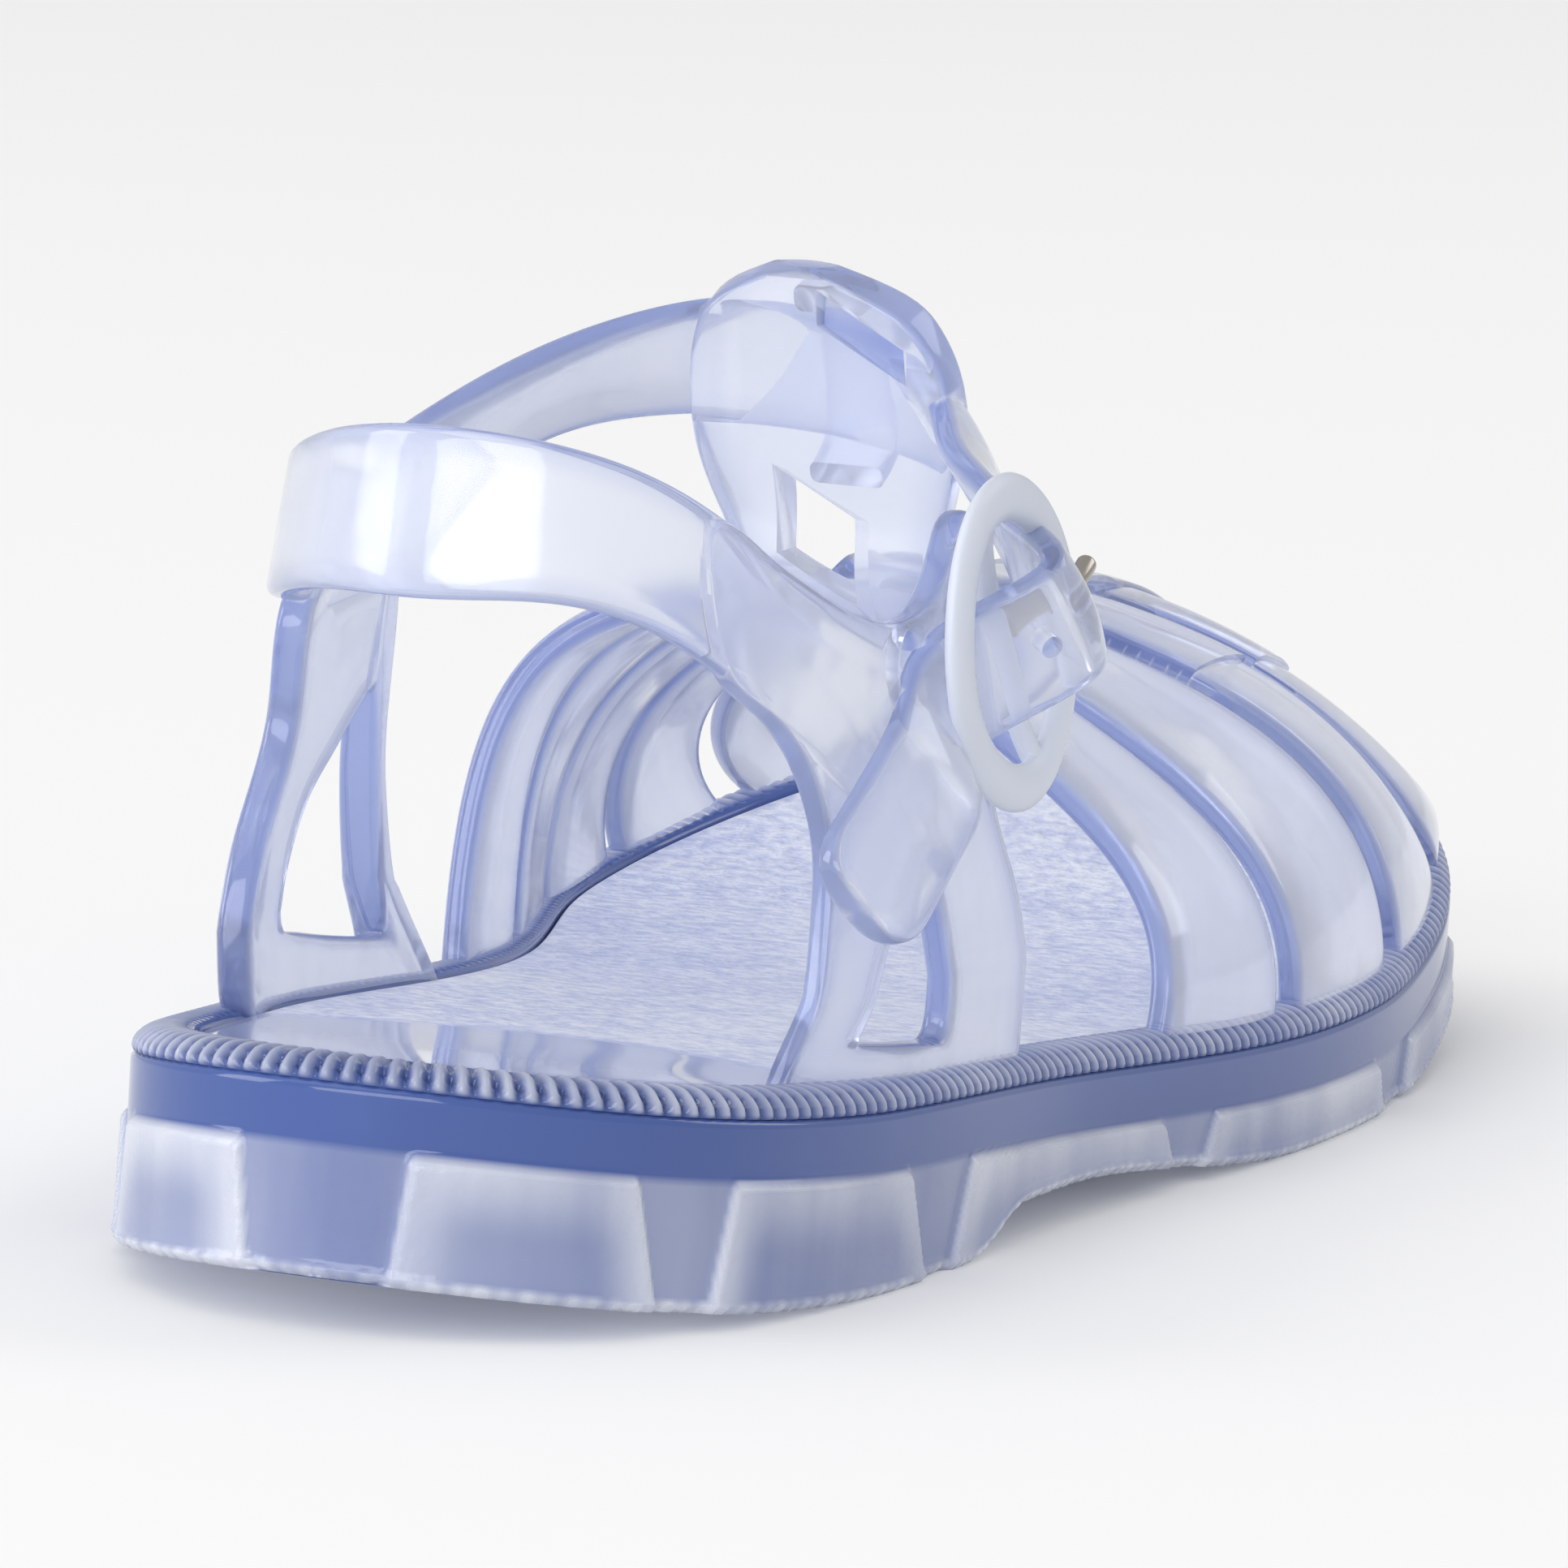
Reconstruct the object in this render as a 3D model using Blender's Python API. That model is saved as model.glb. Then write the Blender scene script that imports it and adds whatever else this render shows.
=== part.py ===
"""Right-foot moulded sandal: outsole, insole, caged upper with ankle strap, buckle frame and prong.

Working frame in millimetres: X to the outer (lateral) side, Y from the heel's rear to the toe, Z up.
"""
import bmesh
import bpy
import numpy as np

MM = 0.001

# Sole
LENGTH = 250.0
TOE_X = -5.0
HEEL_EDGE = 16.8
FORE_EDGE = 10.9
DROP_FROM = 15.0
DROP_TO = 160.0
HEEL_RISE = 4.5
HEEL_FLAT_FROM = 52.0
BREAST = 66.0
BREAST_RUN = 15.0
ARCH_RISE = 3.6
ARCH_FROM = 92.0
ARCH_TO = 145.0
BALL_END = 172.0
TOE_SPRING = 14.6
BAND = 5.0
PANEL_PROUD = 0.8
PANEL_EDGE = 0.9
SOLE_CHAMFER = 0.7
PANEL_COLUMN = 7.5

# Distance of the outline from the centre line at stations along the foot
OUTLINE_COLUMNS = ("station", "lateral", "medial")
OUTLINE = (
    (5.0, 15.8, 14.2),
    (15.0, 25.6, 23.6),
    (35.0, 32.6, 30.2),
    (61.0, 35.6, 32.8),
    (91.0, 36.6, 32.6),
    (120.0, 40.0, 35.0),
    (148.0, 43.0, 42.0),
    (174.0, 43.0, 48.4),
    (196.0, 40.6, 49.4),
    (217.0, 36.7, 44.9),
    (234.0, 29.0, 35.5),
    (245.0, 17.4, 23.0),
)

# Plain ribs between the raised side panels, by distance along the edge from the rear
RIB_COLUMNS = ("centre", "half_top", "half_low")
RIBS = (
    (0.0, 7.5, 6.0),
    (33.5, 5.0, 2.4),
    (76.5, 7.0, 2.5),
    (136.5, 5.6, 2.6),
    (195.5, 7.5, 4.4),
    (246.0, 6.0, 3.0),
)

# Gap between neighbouring pieces
SEAT = 0.3

# Welt and insole
WELT_OUTER = 0.2
WELT_WIDTH = 5.4
WELT_HEIGHT = 2.3
INSOLE_THICKNESS = 1.7
RIM_COLUMN = 6.0

# Section of a strap: share of the half width, share of the wall, share of the crown
SECTION_COLUMNS = ("across", "out", "dome")
SECTION = ((-1.0, 0.0, 0.0), (-0.86, 0.5, 0.35), (0.0, 0.5, 1.0), (0.86, 0.5, 0.35),
           (1.0, 0.0, 0.0), (0.86, -0.5, 0.0), (-0.86, -0.5, 0.0))

# Line inside the foot that every strap's outside faces away from: lead along the foot and height
CORE_LEAD = 8.0
CORE_HEIGHT = 25.0

# Straps of the upper
STRAP_WALL = 2.6
STRAP_CROWN = 0.6
STRAP_STEPS = 11
FOOT_INSET = 3.0
FOOT_SINK = 1.3

# Vamp form: crest place and the handles of each side's curve from welt to crest
VAMP_COLUMNS = ("station", "crest_x", "crest_z", "lat_wall", "lat_reach", "lat_fall",
                "med_wall", "med_reach", "med_fall")
VAMP = (
    (104.0, 1.0, 52.0, 19.0, 16.0, 16.0, 30.0, 27.0, 0.0),
    (135.0, 0.0, 51.0, 19.0, 16.0, 14.0, 28.0, 27.0, 0.5),
    (160.0, 2.0, 49.5, 20.0, 20.0, 7.5, 24.0, 28.0, 0.5),
    (180.0, 5.0, 47.8, 20.0, 18.0, 4.0, 22.0, 30.0, 1.0),
    (200.0, 5.0, 43.2, 15.0, 18.0, 2.0, 19.0, 29.0, 1.0),
    (220.0, 3.0, 35.4, 9.5, 17.0, 0.5, 12.0, 24.0, 0.5),
    (240.0, -3.0, 28.0, 4.0, 10.0, 0.0, 5.0, 12.0, 0.0),
)

# Vamp straps: stations of the rear and front edge at the welt and at the crest
STRAP_COLUMNS = ("side", "welt_rear", "welt_front", "crest_rear", "crest_front")
LATERAL = 1
MEDIAL = -1
VAMP_STRAPS = (
    (LATERAL, 117.0, 143.0, 131.0, 142.0),
    (LATERAL, 149.0, 180.0, 144.0, 155.0),
    (LATERAL, 188.0, 212.0, 157.0, 168.0),
    (LATERAL, 219.0, 236.0, 170.0, 182.0),
    (MEDIAL, 107.0, 130.0, 120.0, 131.0),
    (MEDIAL, 134.0, 158.0, 133.0, 145.0),
    (MEDIAL, 162.0, 189.0, 147.0, 158.0),
    (MEDIAL, 194.0, 214.0, 160.0, 171.0),
    (MEDIAL, 219.0, 236.0, 173.0, 184.0),
)
CREST_OVERLAP = 0.06
PAD_STRAPS = (2, 3, 7, 8)
PAD_FROM = 0.66
PAD_TO = 0.9
PAD_PROUD = 1.4

# Centre strip from the tab to the toe
STRIP_FROM = 132.0
STRIP_TO = 240.0
STRIP_HALF = 5.5
STRIP_WALL = 3.4

# Rear cage: an oval wall in plan, leaning in as it rises
CAGE_CENTRE_Y = 62.0
CAGE_HALF_Y = 41.0
CAGE_LEVEL = 60.0
CAGE_COLUMNS = ("half_x", "lean", "spread")
CAGE = {LATERAL: (28.5, 0.12, 0.05), MEDIAL: (26.5, 0.095, 0.0)}

# Heel band by angle round the oval, from the medial front round the rear to the lateral quarter
BAND_COLUMNS = ("angle", "low", "high")
HEEL_BAND = (
    (-96.0, 53.5, 65.5),
    (-60.0, 56.5, 69.5),
    (-30.0, 59.5, 73.5),
    (0.0, 60.3, 75.0),
    (23.0, 60.4, 73.6),
    (37.0, 58.0, 71.0),
    (50.0, 53.0, 66.8),
    (60.0, 47.0, 63.0),
    (78.0, 42.0, 59.3),
    (94.0, 41.0, 58.0),
)
HEEL_BAND_STEPS = 30

# Legs of the A-shaped posts: height above the sole edge or floor, place along the foot, half width
POST_COLUMNS = ("height", "station", "half")
LATERAL_REAR_LEG = ((17.5, 45.0, 6.0), (28.0, 47.2, 4.8), (40.0, 49.8, 5.8), (50.0, 53.0, 8.0))
LATERAL_FRONT_LEG = ((15.5, 79.5, 6.0), (27.0, 76.5, 5.6), (38.0, 71.5, 6.0), (50.0, 64.0, 8.0))
MEDIAL_REAR_LEG = ((17.0, 53.5, 8.5), (30.0, 56.0, 8.5), (44.0, 61.0, 12.0), (59.0, 60.0, 13.0))
MEDIAL_FRONT_LEG = ((14.5, 89.0, 6.0), (28.0, 86.0, 4.4), (43.0, 80.5, 4.6), (58.0, 71.0, 7.0))
POST_BAR_HALF = 2.9
POST_BAR_LIFT = 3.0
POST_BAR_PAST = 2.0
POST_BAR_STEPS = 6
HORN = ((47.0, 59.0, 8.0), (54.0, 64.5, 6.6), (58.0, 68.4, 4.6), (62.0, 71.4, 3.2), (66.0, 73.6, 1.8))

# Ankle strap: place of its middle line and the direction of its width
ANKLE_COLUMNS = ("x", "y", "z", "width_x", "width_y", "width_z")
ANKLE = (
    (-26.5, 56.0, 59.8, 0.00, -0.05, 1.00),
    (-26.2, 74.0, 62.0, 0.02, -0.40, 0.92),
    (-22.4, 89.0, 69.0, 0.20, -0.72, 0.66),
    (-13.6, 103.5, 74.0, 0.20, -0.70, 0.68),
    (-1.0, 112.5, 74.8, 0.00, -0.70, 0.71),
    (13.4, 111.6, 71.2, -0.22, -0.70, 0.68),
    (20.4, 102.6, 66.2, -0.30, -0.64, 0.70),
    (26.0, 94.2, 62.8, -0.26, -0.54, 0.80),
    (29.8, 86.4, 60.6, -0.12, -0.50, 0.86),
    (30.6, 81.6, 59.0, -0.06, -0.48, 0.87),
    (36.6, 74.2, 56.0, -0.04, -0.48, 0.87),
    (31.2, 64.6, 50.2, -0.08, -0.46, 0.88),
    (31.6, 60.6, 47.8, -0.16, -0.44, 0.88),
    (33.8, 53.4, 43.8, -0.48, -0.42, 0.77),
    (33.8, 46.0, 38.8, -0.68, -0.46, 0.57),
    (33.2, 41.4, 35.0, -0.72, -0.46, 0.52),
)
ANKLE_HALF = 6.5
ANKLE_TIP_HALF = 3.4
ANKLE_STEPS = 60

# Tab with the strap's tunnel, rising from the centre strip
TAB_COLUMNS = ("height", "centre_x", "station", "half", "thickness")
TAB = (
    (48.5, 2.0, 124.0, 6.0, 3.6),
    (52.0, 3.2, 117.6, 8.0, 4.8),
    (60.0, 3.0, 114.2, 10.8, 5.2),
    (67.0, 3.0, 111.2, 12.8, 5.2),
    (73.0, 3.0, 108.8, 13.0, 5.2),
    (78.5, 2.6, 106.6, 11.6, 5.0),
    (82.0, 2.0, 105.2, 8.2, 4.6),
    (84.0, 1.4, 104.4, 3.6, 3.6),
)
TAB_STEPS = 16
TAB_CROWN = 0.4

# Loop on the toe side of the tab that holds the strap: middle line over the strap, from top to bottom
LOOP_COLUMNS = ("x", "y", "z")
TAB_LOOP = (
    (3.4, 105.8, 81.4),
    (3.6, 110.6, 81.4),
    (3.8, 115.6, 79.0),
    (4.0, 119.2, 73.0),
    (4.0, 119.4, 66.6),
    (3.8, 115.4, 61.6),
)
LOOP_HALF = 3.6
LOOP_WALL = 2.2
LOOP_STEPS = 12
SLOT_COLUMNS = ("x", "y", "z", "width", "height")
TAB_SLOTS = (
    (7.3, 90.6, 78.6, 8.0, 6.0),
    (1.8, 114.6, 59.2, 7.6, 9.6),
)
SLOT_DEPTH = 30.0

# Buckle, in the plane of the strap where it crosses the bar
BUCKLE_MIDDLE = (34.6, 73.0, 55.6)
BUCKLE_ALONG = (-0.06, 0.86, 0.5)
BUCKLE_HALF_LONG = 11.4
BUCKLE_HALF_WIDE = 13.8
FRAME_POINT = 0.9
FRAME_RADIUS = 2.2
FRAME_FLAT = 0.48
FRAME_OUT = 0.6
BAR_DIP = 1.4
BAR_RADIUS = 1.05
BAR_STEPS = 11
FRAME_STEPS = 40
ROUND_SIDES = 10
PRONG_RADIUS = 0.95
PRONG_STEPS = 18
PRONG_PAST = 2.0

# Prong's way from the bar to the ring's front: share of the half length, share of the rise
PRONG_COLUMNS = ("reach", "rise")
PRONG_WAY = ((0.4, 0.2), (0.66, 0.75), (0.9, 1.0))

# Faces that meet at less than this angle are shaded as one
SMOOTH_ANGLE = 35.0


def smooth(t):
    """Ease from 0 to 1 with level ends."""
    t = np.clip(t, 0.0, 1.0)
    return t * t * (3.0 - 2.0 * t)


def heel_rise(y):
    return HEEL_RISE * np.clip((HEEL_FLAT_FROM - y) / HEEL_FLAT_FROM, 0.0, 1.0) ** 2


def toe_spring(y):
    return TOE_SPRING * np.clip((y - BALL_END) / (LENGTH - BALL_END), 0.0, 1.0) ** 2


def tread_height(y):
    """Underside: heel with a raised rear, a step up to the arch, a flat ball and a sprung toe."""
    arch = smooth((y - BREAST) / BREAST_RUN) * (1.0 - smooth((y - ARCH_FROM) / (ARCH_TO - ARCH_FROM)))
    return heel_rise(y) + ARCH_RISE * arch + toe_spring(y)


def edge_height(y):
    """Top of the outsole's side."""
    fall = smooth((y - DROP_FROM) / (DROP_TO - DROP_FROM))
    return HEEL_EDGE + (FORE_EDGE - HEEL_EDGE) * fall + heel_rise(y) + toe_spring(y)


def cubic(rows, at):
    """Natural cubic curve through rows of (parameter, values...) read at the given parameters."""
    rows = np.asarray(rows, float)
    t = rows[:, 0]
    values = rows[:, 1:]
    count = len(t)
    step = np.diff(t)
    slope = np.diff(values, axis=0) / step[:, None]
    matrix = np.eye(count)
    right = np.zeros_like(values)
    for i in range(1, count - 1):
        matrix[i, i - 1] = step[i - 1]
        matrix[i, i] = 2.0 * (step[i - 1] + step[i])
        matrix[i, i + 1] = step[i]
        right[i] = 6.0 * (slope[i] - slope[i - 1])
    bend = np.linalg.solve(matrix, right)
    at = np.asarray(at, float)
    k = np.clip(np.searchsorted(t, at) - 1, 0, count - 2)
    h = step[k][:, None]
    a = ((t[k + 1] - at) / step[k])[:, None]
    b = 1.0 - a
    bow = (a ** 3 - a) * bend[k] + (b ** 3 - b) * bend[k + 1]
    return a * values[k] + b * values[k + 1] + bow * h * h / 6.0


def along(points, count):
    """Even walk along a cubic curve through the points."""
    points = np.asarray(points, float)
    gaps = np.linalg.norm(np.diff(points[:, :3], axis=0), axis=1)
    reach = np.concatenate([[0.0], np.cumsum(gaps)])
    return cubic(np.column_stack([reach, points]), np.linspace(0.0, reach[-1], count))


class SoleEdge:
    """The sole's outline as two halves walked from the rear to the toe."""

    SAMPLES = 1600

    def __init__(self):
        rear = [(0.0, 0.0)]
        toe = [(TOE_X, LENGTH)]
        lateral = [(wide, station) for station, wide, _ in OUTLINE]
        medial = [(-wide, station) for station, _, wide in OUTLINE]
        loop = rear + lateral + toe + medial[::-1]
        laps = np.asarray(loop + loop + loop + rear, float)
        gaps = np.linalg.norm(np.diff(laps, axis=0), axis=1)
        reach = np.concatenate([[0.0], np.cumsum(gaps)])
        start = reach[len(loop)]
        tip = reach[len(loop) + len(lateral) + 1]
        end = reach[2 * len(loop)]
        rows = np.column_stack([reach, laps])
        there = cubic(rows, np.linspace(start, tip, self.SAMPLES))
        back = cubic(rows, np.linspace(tip, end, self.SAMPLES))
        line = np.concatenate([there, back[1:-1]])
        ahead = np.roll(line, -1, axis=0) - np.roll(line, 1, axis=0)
        inward = np.column_stack([-ahead[:, 1], ahead[:, 0]])
        inward /= np.linalg.norm(inward, axis=1)[:, None]
        order = np.arange(len(line))
        halves = {LATERAL: order[:self.SAMPLES],
                  MEDIAL: np.concatenate([order[:1], order[:self.SAMPLES - 2:-1]])}
        self.runs = {side: self.run(line[half], inward[half]) for side, half in halves.items()}

    def run(self, points, inward):
        gaps = np.linalg.norm(np.diff(points, axis=0), axis=1)
        return np.concatenate([[0.0], np.cumsum(gaps)]), points, inward

    def length(self, side):
        return self.runs[side][0][-1]

    def walk(self, side, share, inset):
        """Points at shares of the half's length, moved inwards by inset."""
        reach, points, inward = self.runs[side]
        at = np.clip(np.asarray(share, float), 0.0, 1.0) * reach[-1]
        spot = np.column_stack([np.interp(at, reach, points[:, i]) for i in (0, 1)])
        turn = np.column_stack([np.interp(at, reach, inward[:, i]) for i in (0, 1)])
        return spot + turn * np.broadcast_to(inset, at.shape)[:, None]

    def at_station(self, side, station, inset):
        """Points of one half at distances along the foot, moved inwards."""
        reach, points, _ = self.runs[side]
        return self.walk(side, np.interp(station, points[:, 1], reach) / reach[-1], inset)


def add_object(name, verts, faces, material):
    mesh = bpy.data.meshes.new(name)
    mesh.from_pydata((np.asarray(verts) * MM).tolist(), [], [list(map(int, face)) for face in faces])
    work = bmesh.new()
    work.from_mesh(mesh)
    bmesh.ops.remove_doubles(work, verts=work.verts, dist=0.00001)
    bmesh.ops.recalc_face_normals(work, faces=work.faces)
    work.to_mesh(mesh)
    work.free()
    mesh.materials.append(material)
    thing = bpy.data.objects.new(name, mesh)
    bpy.context.collection.objects.link(thing)
    return thing


def tube_faces(rings, sides, closed):
    """Quads between successive rings of a tube, with flat ends unless it closes on itself."""
    faces = []
    for i in range(rings if closed else rings - 1):
        j = (i + 1) % rings
        for k in range(sides):
            m = (k + 1) % sides
            faces.append((i * sides + k, i * sides + m, j * sides + m, j * sides + k))
    if not closed:
        faces.append(range(sides - 1, -1, -1))
        faces.append(range((rings - 1) * sides, rings * sides))
    return faces


def add_strap(name, rear, front, wall, crown, material):
    """Band between two edge curves: a flat back, a crowned outside and rounded edges."""
    rear = np.asarray(rear, float)
    front = np.asarray(front, float)
    middle = (rear + front) / 2.0
    half = (front - rear) / 2.0
    normal = np.cross(np.gradient(middle, axis=0), half)
    normal /= np.linalg.norm(normal, axis=1)[:, None]
    core = np.column_stack([np.zeros(len(middle)), middle[:, 1] + CORE_LEAD, np.full(len(middle), CORE_HEIGHT)])
    normal *= np.sign(((middle - core) * normal).sum())
    wall = np.broadcast_to(np.asarray(wall, float), (len(middle),))[:, None]
    rings = [middle + half * across + normal * (wall * out + crown * dome) for across, out, dome in SECTION]
    verts = np.stack(rings, axis=1).reshape(-1, 3)
    return add_object(name, verts, tube_faces(len(middle), len(SECTION), False), material)


def join(name, parts, material):
    """One closed body from overlapping closed bodies."""
    body = parts[0]
    for other in parts[1:]:
        fuse(body, other, "UNION")
    body.name = name
    body.data.name = name
    body.data.materials.clear()
    body.data.materials.append(material)
    return body


def fuse(body, other, operation):
    """Apply one Boolean to the body and remove the other object."""
    modifier = body.modifiers.new("fuse", "BOOLEAN")
    modifier.operation = operation
    modifier.solver = "EXACT"
    modifier.object = other
    graph = bpy.context.evaluated_depsgraph_get()
    result = bpy.data.meshes.new_from_object(body.evaluated_get(graph))
    body.modifiers.clear()
    body.data = result
    bpy.data.objects.remove(other)


def shade(thing, angle):
    thing.data.shade_smooth()
    thing.data.set_sharp_from_angle(angle=np.radians(angle))


def add_material(name, colour, roughness, metallic, transmission):
    material = bpy.data.materials.new(name)
    material.use_nodes = True
    shader = material.node_tree.nodes["Principled BSDF"]
    shader.inputs["Base Color"].default_value = (*colour, 1.0)
    shader.inputs["Roughness"].default_value = roughness
    shader.inputs["Metallic"].default_value = metallic
    shader.inputs["Transmission Weight"].default_value = transmission
    return material


def panel_columns(total):
    """Columns of the sole's side: place at the top, place at the bottom and whether it stands proud."""
    columns = [(0.0, 0.0, 0.0)]
    for i, (centre, half_top, half_low) in enumerate(RIBS):
        last = i == len(RIBS) - 1
        next_centre, next_top, next_low = (total, 0.0, 0.0) if last else RIBS[i + 1]
        if i:
            columns.append((centre, centre, 0.0))
        columns.append((centre + half_top, centre + half_low, 0.0))
        start = np.array([centre + half_top + PANEL_EDGE, centre + half_low + PANEL_EDGE])
        stop = np.array([next_centre - next_top - PANEL_EDGE, next_centre - next_low - PANEL_EDGE])
        if last:
            stop = np.array([total, total])
        count = max(2, int(round((stop[1] - start[1]) / PANEL_COLUMN)) + 1)
        for share in np.linspace(0.0, 1.0, count):
            columns.append((*(start + (stop - start) * share), 1.0))
        if not last:
            columns.append((next_centre - next_top, next_centre - next_low, 0.0))
    return np.array(columns)


def add_outsole(edge, material):
    """Side wall of levels from tread to edge, with proud panels, closed above and below by rungs."""
    total = edge.length(LATERAL)
    columns = panel_columns(total)
    top = columns[:, 0] / total
    low = columns[:, 1] / total
    proud = columns[:, 2] * PANEL_PROUD
    walls = []
    for side in (LATERAL, MEDIAL):
        y_low = edge.walk(side, low, 0.0)[:, 1]
        y_top = edge.walk(side, top, 0.0)[:, 1]
        ledge = edge_height(y_top) - BAND
        tread = tread_height(y_low)
        levels = ((low, SOLE_CHAMFER - proud, tread),
                  (low, -proud, tread + SOLE_CHAMFER),
                  (top, -proud, ledge - PANEL_EDGE),
                  (top, 0.0 * proud, ledge),
                  (top, 0.0 * proud, edge_height(y_top)))
        walls.append([np.column_stack([edge.walk(side, share, inset), z]) for share, inset, z in levels])
    rows = len(columns)
    rings = walls[0] + walls[1][::-1]
    verts = np.concatenate(rings)
    faces = []
    for level in range(len(rings)):
        upper = (level + 1) % len(rings)
        for k in range(rows - 1):
            faces.append((level * rows + k, level * rows + k + 1, upper * rows + k + 1, upper * rows + k))
    return add_object("outsole", verts, clean_faces(verts, faces), material)


def clean_faces(verts, faces):
    """Drop the repeated corners that meet at the rear and at the toe."""
    kept = []
    for face in faces:
        corners = []
        for index in face:
            if not any(np.allclose(verts[index], verts[other], atol=0.002) for other in corners):
                corners.append(index)
        if len(corners) > 2:
            kept.append(corners)
    return kept


def rim_shares(edge):
    count = int(edge.length(LATERAL) / RIM_COLUMN)
    return np.linspace(0.0, 1.0, count)


def add_insole(edge, material):
    """Plate that fills the inside of the welt."""
    shares = rim_shares(edge)
    inset = WELT_OUTER + WELT_WIDTH + SEAT
    rings = []
    for side, lifts in ((LATERAL, (SEAT, SEAT + INSOLE_THICKNESS)), (MEDIAL, (SEAT + INSOLE_THICKNESS, SEAT))):
        spot = edge.walk(side, shares, inset)
        for lift in lifts:
            rings.append(np.column_stack([spot, edge_height(spot[:, 1]) + lift]))
    verts = np.concatenate(rings)
    rows = len(shares)
    faces = []
    for level in range(4):
        upper = (level + 1) % 4
        for k in range(rows - 1):
            faces.append((level * rows + k, level * rows + k + 1, upper * rows + k + 1, upper * rows + k))
    return add_object("insole", verts, clean_faces(verts, faces), material)


def add_welt(edge, material):
    """Closed rim that lies on the sole's edge and carries the feet of the straps."""
    shares = rim_shares(edge)
    laps = []
    for inset, lift in ((WELT_OUTER, SEAT), (WELT_OUTER, SEAT + WELT_HEIGHT),
                        (WELT_OUTER + WELT_WIDTH, SEAT + WELT_HEIGHT), (WELT_OUTER + WELT_WIDTH, SEAT)):
        lateral = edge.walk(LATERAL, shares, inset)
        medial = edge.walk(MEDIAL, shares, inset)
        lap = np.concatenate([lateral, medial[-2:0:-1]])
        laps.append(np.column_stack([lap, edge_height(lap[:, 1]) + lift]))
    verts = np.stack(laps, axis=1).reshape(-1, 3)
    return add_object("welt", verts, tube_faces(len(laps[0]), 4, True), material)


def vamp_curve(edge, side, station, share):
    """Places on the vamp: for each station, a curve from welt (share 0) over to the crest (share 1)."""
    columns = cubic(VAMP, station)
    crest = np.column_stack([columns[:, 0], station, columns[:, 1]])
    wall, reach, fall = columns[:, 2:5].T if side == LATERAL else columns[:, 5:8].T
    foot = edge.at_station(side, station, FOOT_INSET)
    foot_z = edge_height(station) + FOOT_SINK
    p0 = np.column_stack([foot[:, 0], station, foot_z])
    p1 = p0 + np.column_stack([side * np.ones(len(station)), 0.0 * station, wall])
    p2 = crest + np.column_stack([side * reach, 0.0 * station, -fall])
    u = np.asarray(share, float)[:, None]
    v = 1.0 - u
    return v ** 3 * p0 + 3.0 * v * v * u * p1 + 3.0 * v * u * u * p2 + u ** 3 * crest


def vamp_strap(edge, row, first, last, wall, crown, material):
    side, welt_rear, welt_front, crest_rear, crest_front = row
    share = np.linspace(first, last, STRAP_STEPS)
    rear = vamp_curve(edge, side, welt_rear + (crest_rear - welt_rear) * share, share)
    front = vamp_curve(edge, side, welt_front + (crest_front - welt_front) * share, share)
    return add_strap("strap", rear, front, wall, crown, material)


def centre_strip(edge, material):
    station = np.linspace(STRIP_FROM, STRIP_TO, 2 * STRAP_STEPS)
    columns = cubic(VAMP, station)
    line = np.column_stack([columns[:, 0], station, columns[:, 1]])
    toe = edge.walk(LATERAL, [1.0], FOOT_INSET)[0]
    foot = np.array([[toe[0], toe[1], edge_height(LENGTH) + FOOT_SINK]])
    line = along(np.concatenate([line, foot]), 2 * STRAP_STEPS)
    half = np.array([STRIP_HALF, 0.0, 0.0])
    return add_strap("strip", line - half, line + half, STRIP_WALL, STRAP_CROWN, material)


def cage_wall(side, station, height):
    """Rear cage at a place along the foot and a height: an oval in plan that leans in as it rises."""
    ahead = np.clip((CAGE_CENTRE_Y - station) / CAGE_HALF_Y, 0.0, 1.0)
    half_x, lean, spread = CAGE[side]
    half = half_x * np.sqrt(1.0 - ahead ** 2) + spread * np.clip(station - CAGE_CENTRE_Y, 0.0, None)
    return np.column_stack([side * (half + lean * (CAGE_LEVEL - height)), station, height])


def heel_band(material):
    angle = np.linspace(HEEL_BAND[0][0], HEEL_BAND[-1][0], HEEL_BAND_STEPS)
    low, high = cubic(HEEL_BAND, angle).T
    turn = np.radians(angle)
    half_x = np.where(angle > 0.0, CAGE[LATERAL][0], CAGE[MEDIAL][0])
    edges = []
    for height in (low, high):
        lean = CAGE[LATERAL][1] * (CAGE_LEVEL - height)
        edges.append(np.column_stack([(half_x + lean) * np.sin(turn),
                                      CAGE_CENTRE_Y - (CAGE_HALF_Y + lean) * np.cos(turn), height]))
    return add_strap("band", edges[0], edges[1], STRAP_WALL, STRAP_CROWN, material)


def post_leg(side, rows, material):
    rows = np.asarray(rows, float)
    height = np.linspace(rows[0, 0], rows[-1, 0], STRAP_STEPS)
    station, half = cubic(rows, height).T
    return add_strap("leg", cage_wall(side, station - half, height),
                     cage_wall(side, station + half, height), STRAP_WALL, STRAP_CROWN, material)


def post_bar(side, rear_leg, front_leg, material):
    station = np.linspace(rear_leg[0][1] - POST_BAR_PAST, front_leg[0][1] + POST_BAR_PAST, POST_BAR_STEPS)
    height = edge_height(station) + POST_BAR_LIFT
    return add_strap("bar", cage_wall(side, station, height - POST_BAR_HALF),
                     cage_wall(side, station, height + POST_BAR_HALF), STRAP_WALL, 0.0, material)


def ankle_line():
    line = along(ANKLE, ANKLE_STEPS)
    width = line[:, 3:6] / np.linalg.norm(line[:, 3:6], axis=1)[:, None]
    return line[:, :3], width


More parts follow.
